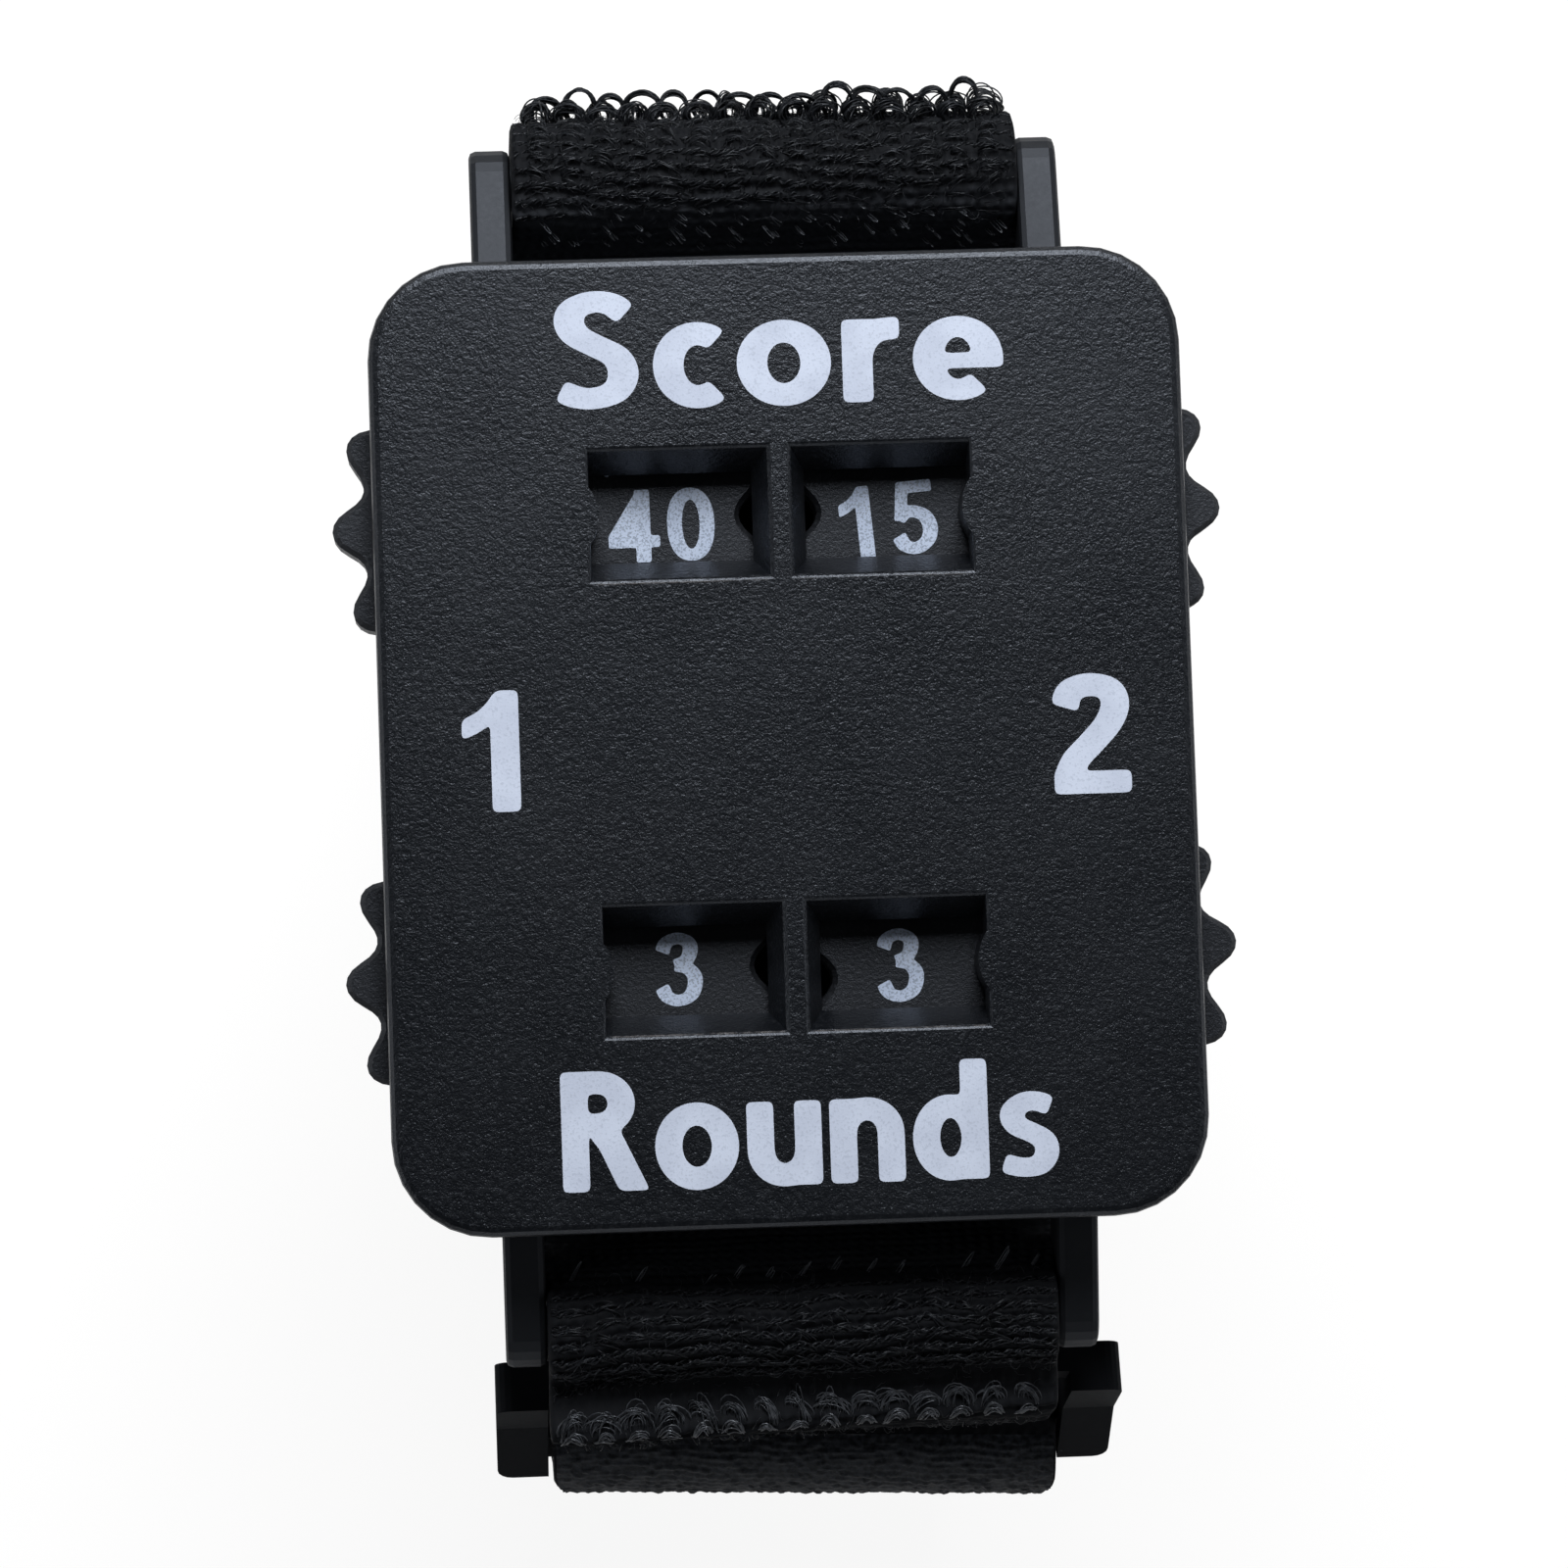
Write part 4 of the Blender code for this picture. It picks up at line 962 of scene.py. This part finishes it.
def plainWeaveMesh():
    # The plain face of the tail: short floats of yarn in rows, no two alike
    dice = np.random.default_rng(weave["seed"] + 2)
    half = weave["halfWidth"] - plainWeave["margin"]
    s = np.arange(plainWeave["from"], path.length - 0.2 * mm, plainWeave["stepAlong"])
    s, x = np.meshgrid(s, np.linspace(-half, half, plainWeave["pointsAcross"]), indexing="ij")
    rows = s / plainWeave["pitch"] + wander(x, s, plainWeave["wander"])
    row = np.floor(rows).astype(int)
    u = rows - row
    row -= row.min()
    across = x / plainWeave["long"] + dice.uniform(0, 1, row.max() + 1)[row]
    column = np.floor(across).astype(int)
    v = across - column
    column -= column.min()
    size = (row.max() + 1, column.max() + 1)
    shares = dice.uniform(*plainWeave["share"], size)[row, column]
    slants = dice.normal(0, plainWeave["slant"], size)[row, column]
    floats = np.sin(np.pi * np.clip(u + slants * (v - 0.5), 0, 1)) ** 0.8 * np.sin(np.pi * v) ** 0.5
    face = -strap["solid"] / 2 + hump(s, *weave["thinFold"])
    height = face - plainWeave["over"] - plainWeave["tall"] * shares * floats
    return gridMesh("tail_weave", path.lay(x, s, height), closed=False)


yarnPieces = {"strap_courses": (courseMesh(), pileFinish), "tail_weave": (plainWeaveMesh(), threadFinish),
              "strap_fuzz": (fuzzMesh(), pileFinish)}
for name, (mesh, finish) in yarnPieces.items():
    addPiece(name, mesh, finish, "case")
print("courses, weave and fuzz made:", sum(len(mesh.polygons) for mesh, _ in yarnPieces.values()), "faces")

# Hook tape inside the tail
hooks = {"pitch": 1.25 * mm, "columns": 20, "apart": 1.26 * mm, "height": 0.75 * mm, "reach": 0.26 * mm,
         "radius": 0.10 * mm, "wrap": 205, "points": 8, "foot": 0.35, "droop": 0.35, "sunk": 0.05 * mm,
         "tape": 0.30 * mm, "overCloth": 0.02 * mm, "bevelTall": 0.08 * mm, "bevelWide": 0.1 * mm,
         "inset": 0.6 * mm, "narrower": 0.4 * mm, "edgeColumns": 3, "endRows": 3 * mm}
hookEnd = path.length - hooks["inset"]
hookStart = hookEnd - strap["hookLength"]
tapeLow = strap["solid"] / 2 + hooks["overCloth"]
tapeTop = tapeLow + hooks["tape"]


def hookTape():
    half = strap["width"] / 2 - hooks["narrower"]
    s = np.linspace(hookStart, hookEnd, 160)
    shoulder, flat = tapeTop - hooks["bevelTall"], half - hooks["bevelWide"]
    ring = [(-half, tapeLow), (-half, shoulder), (-flat, tapeTop),
            (flat, tapeTop), (half, shoulder), (half, tapeLow)]
    rows = [path.lay(np.full_like(s, x), s, np.full_like(s, rise)) for x, rise in ring]
    return gridMesh("hook_tape", np.stack(rows, axis=1))


def hookLines():
    # Only the hooks near the tape's sides and end, where they can be seen
    lines = []
    theta = np.radians(np.linspace(0, hooks["wrap"], hooks["points"]))
    upright = math.pi / 2
    lift = hooks["foot"] + (1 - hooks["foot"]) * np.sin(np.minimum(theta, upright))
    lift = hooks["height"] * (lift - hooks["droop"] * np.maximum(theta - upright, 0))
    lift[0] = 0
    middle = (hooks["columns"] - 1) / 2
    for s0 in np.arange(hookStart + hooks["inset"], hookEnd - hooks["inset"], hooks["pitch"]):
        for column in range(hooks["columns"]):
            atSide = abs(column - middle) > middle - hooks["edgeColumns"]
            if atSide or s0 >= hookEnd - hooks["endRows"]:
                reach = hooks["reach"] * (1 - np.cos(theta)) * (1 if column % 2 else -1)
                x = np.full(hooks["points"], (column - middle) * hooks["apart"])
                lines.append(path.lay(x, s0 + reach, tapeTop - hooks["sunk"] + lift))
    return lines


tape = addPiece("hook_tape_base", hookTape(), hookFinish, "case", smooth=False)
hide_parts("hook_patch")
lines = hookLines()
addPiece("hook_rows", tubeMesh("hook_rows", lines, hooks["radius"], 4), hookFinish, "case")
print("hook tape made:", len(lines), "hooks shown at its edges")

# Sewing: rows through the lap, and round the hook tape on the plain face of the tail
sewing = {"stitch": 2.1 * mm, "gap": 0.55 * mm, "share": (0.10, 0.90), "radius": 0.17 * mm, "points": 7,
          "bow": 0.2 * mm, "square": 0.45, "sunk": 0.75, "fromEdge": 1.6 * mm, "fromStart": 1 * mm,
          "lapRows": (1.6 * mm, 5.6 * mm), "lapFace": 0.86 * mm, "tailSunk": 0.17 * mm}


def stitchLine(start, end, height, bow):
    # Short stitches along a line in strap coordinates, each dipping into the cloth at its ends
    start, end = np.array(start), np.array(end)
    count = max(1, int(np.linalg.norm(end - start) / (sewing["stitch"] + sewing["gap"])))
    arch = np.sin(np.linspace(0, math.pi, sewing["points"])) ** sewing["square"]
    made = []
    for number in range(count):
        t = (number + np.linspace(*sewing["share"], sewing["points"])) / count
        points = start + (end - start) * t[:, None]
        made.append(path.lay(points[:, 0], points[:, 1], height + bow * (arch - sewing["sunk"])))
    return made


sewn = strap["width"] / 2 - sewing["fromEdge"]
sewnFrom = hookStart + sewing["fromStart"]
plain = sewing["tailSunk"] - strap["solid"] / 2
lines = []
for x in (-sewn, sewn):
    lines += stitchLine((x, sewnFrom), (x, hookEnd - sewing["fromStart"]), plain, -sewing["bow"])
for s0 in (sewnFrom, hookEnd - sewing["fromEdge"]):
    lines += stitchLine((-sewn, s0), (sewn, s0), plain, -sewing["bow"])
for s0 in sewing["lapRows"]:
    lines += stitchLine((-sewn, s0), (sewn, s0), sewing["lapFace"], sewing["bow"])
addPiece("strap_sewing", tubeMesh("strap_sewing", lines, sewing["radius"], 5), threadFinish, "case")
print("sewing made:", len(lines), "stitches")

# Screws with their drive recess and thread, in place of the plain solids
screw = {"headRadius": 1.30 * mm, "headHeight": 0.80 * mm, "shank": 0.58 * mm, "thread": 0.76 * mm,
         "pitch": 0.60 * mm, "fade": 0.4 * mm, "point": 0.7 * mm, "around": 28, "levels": 52,
         "slotWide": 0.34 * mm, "slotLong": 1.50 * mm, "slotDeep": 0.42 * mm, "turn": 0.4, "tip": 0.30 * mm,
         "tipTall": 0.2 * mm, "merge": 0.002 * mm, "sharp": 32,
         # The head from its middle out and up, as shares of its radius and height
         "head": [(0.0, 0), (0.55, 0.0), (0.82, 0.08), (0.95, 0.22), (1.0, 0.45), (1.0, 0.96), (0.97, 1.0)]}


def screwMesh(name, lowest, highest, centre):
    part = np.arange(screw["around"]) / screw["around"]
    low, tall = screw["headHeight"], highest - lowest
    rings = [(radius * screw["headRadius"], rise * low) for radius, rise in screw["head"]]
    for rise in np.linspace(low, tall - screw["point"], screw["levels"]):
        phase = ((rise - low) / screw["pitch"] - part) % 1
        ridge = np.maximum(0, 1 - abs(phase - 0.5) * 4) * min(1, (rise - low) / screw["fade"])
        rings.append((screw["shank"] + (screw["thread"] - screw["shank"]) * ridge, rise))
    rings += [(screw["tip"], tall - screw["tipTall"]), (0.0, tall)]
    angles = 2 * math.pi * part
    grid = [np.stack([radius * np.cos(angles), radius * np.sin(angles), np.full_like(angles, rise)], axis=1)
            for radius, rise in rings]
    mesh = gridMesh(name, np.array(grid) + (*centre, lowest))
    shape = bmesh.new()
    shape.from_mesh(mesh)
    bmesh.ops.remove_doubles(shape, verts=shape.verts, dist=screw["merge"])
    bmesh.ops.recalc_face_normals(shape, faces=shape.faces)
    return meshOf(shape, mesh)


def cutCross(thing, centre, lowest, turn):
    # The drive recess: two crossed slots cut into the head from below
    shape = bmesh.new()
    for spin in (0, math.pi / 2):
        made = bmesh.ops.create_cube(shape, size=1)
        box = Matrix.Diagonal((screw["slotLong"], screw["slotWide"], 2 * screw["slotDeep"], 1))
        bmesh.ops.transform(shape, verts=made["verts"], matrix=Matrix.Rotation(spin + turn, 4, "Z") @ box)
    bmesh.ops.translate(shape, verts=shape.verts, vec=(*centre, lowest))
    tool = linked("cross", meshOf(shape, bpy.data.meshes.new("cross")))
    boolean = thing.modifiers.new("cross", "BOOLEAN")
    boolean.operation = "DIFFERENCE"
    boolean.solver = "EXACT"
    boolean.use_self = True
    boolean.object = tool
    bpy.context.view_layer.update()
    solid = thing.evaluated_get(bpy.context.evaluated_depsgraph_get())
    cut = bpy.data.meshes.new_from_object(solid)
    thing.modifiers.clear()
    thing.data = cut
    bpy.data.objects.remove(tool, do_unlink=True)
    cut.shade_smooth()
    cut.set_sharp_from_angle(angle=math.radians(screw["sharp"]))


for number in range(1, 5):
    nodeName = "case_screw_" + str(number)
    low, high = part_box(nodeName)
    centre = ((low.x + high.x) / 2, (low.y + high.y) / 2)
    mesh = screwMesh("screw_" + str(number), low.z, high.z, centre)
    thing = addPiece("screw_" + str(number), mesh, steelFinish, "case")
    cutCross(thing, centre, low.z, screw["turn"] * number)
    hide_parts(nodeName)
print("screws made")

# Floor, light and camera
studio = {
    "floor": (0.86, 0.86, 0.86), "floorSize": 3, "floorGlow": 0.80, "glow": 1.12, "glossShare": 0.25,
    "sky": 0.09, "horizon": 0.34,
    "lamps": [
        ("top_softbox", (0.012, 0.212, 0.27), 0.145, 0.95), ("left_fill", (-0.37, -0.02, 0.20), 0.24, 0.26),
        ("right_fill", (0.37, -0.02, 0.20), 0.24, 0.26), ("front_fill", (0, -0.42, 0.18), 0.24, 0.17),
    ],
    "aim": (0, 0, 0.05),
}
floorFinish = Finish("studio_floor", roughness=0.9, base_color=(*studio["floor"], 1))
rays = [floorFinish.node("LightPath", out="Is " + ray + " Ray") for ray in ("Camera", "Glossy", "Transmission")]
seen = (rays[0] + rays[1] * studio["glossShare"] + rays[2]).maths("MINIMUM", 1.0)
lit = Field(floorFinish.tree, floorFinish.shader.outputs[0])
glow = floorFinish.node("Emission", sockets={"Strength": studio["glow"]})
mixed = floorFinish.node("MixShader", sockets={"Fac": seen * studio["floorGlow"], 1: lit, 2: glow})
floorFinish.tree.links.new(mixed.socket, floorFinish.tree.nodes["Material Output"].inputs["Surface"])
shape = bmesh.new()
bmesh.ops.create_grid(shape, x_segments=1, y_segments=1, size=studio["floorSize"])
floor = linked("floor", meshOf(shape, bpy.data.meshes.new("floor")))
floor.data.materials.append(floorFinish.material)

world = bpy.data.worlds.new("studio")
bpy.context.scene.world = world
world.use_nodes = True
tree = world.node_tree
direction = tree.nodes.new("ShaderNodeTexCoord")
split = tree.nodes.new("ShaderNodeSeparateXYZ")
tree.links.new(direction.outputs["Generated"], split.inputs[0])
upward = Field(tree, split.outputs[2]).above(0.0, 0.9)
seen = Field(tree, tree.nodes.new("ShaderNodeLightPath").outputs["Is Camera Ray"])
light = studio["horizon"] + (studio["sky"] - studio["horizon"]) * upward
tree.links.new((light * (1 - seen) + seen).socket, tree.nodes["Background"].inputs["Strength"])

for name, spot, size, power in studio["lamps"]:
    lamp = bpy.data.lights.new(name, "AREA")
    lamp.shape = "SQUARE"
    lamp.size = size
    lamp.energy = power
    thing = linked(name, lamp)
    thing.location = spot
    toward = Vector(studio["aim"]) - Vector(spot)
    thing.rotation_euler = toward.to_track_quat("-Z", "Y").to_euler()

view = {"place": (-16.1 * mm, -20.7 * mm, 356.3 * mm), "turn": (3.6, -2.89, -1.98), "lens": 137.85,
        "film": 36.0}
camera = bpy.data.cameras.new("camera")
camera.lens = view["lens"]
camera.sensor_width = view["film"]
camera.sensor_fit = "HORIZONTAL"
camera.clip_start = 0.01
viewer = linked("camera", camera)
viewer.location = view["place"]
viewer.rotation_euler = Euler([math.radians(angle) for angle in view["turn"]])
bpy.context.scene.camera = viewer
bpy.context.scene.view_settings.view_transform = "Standard"
print("studio made")
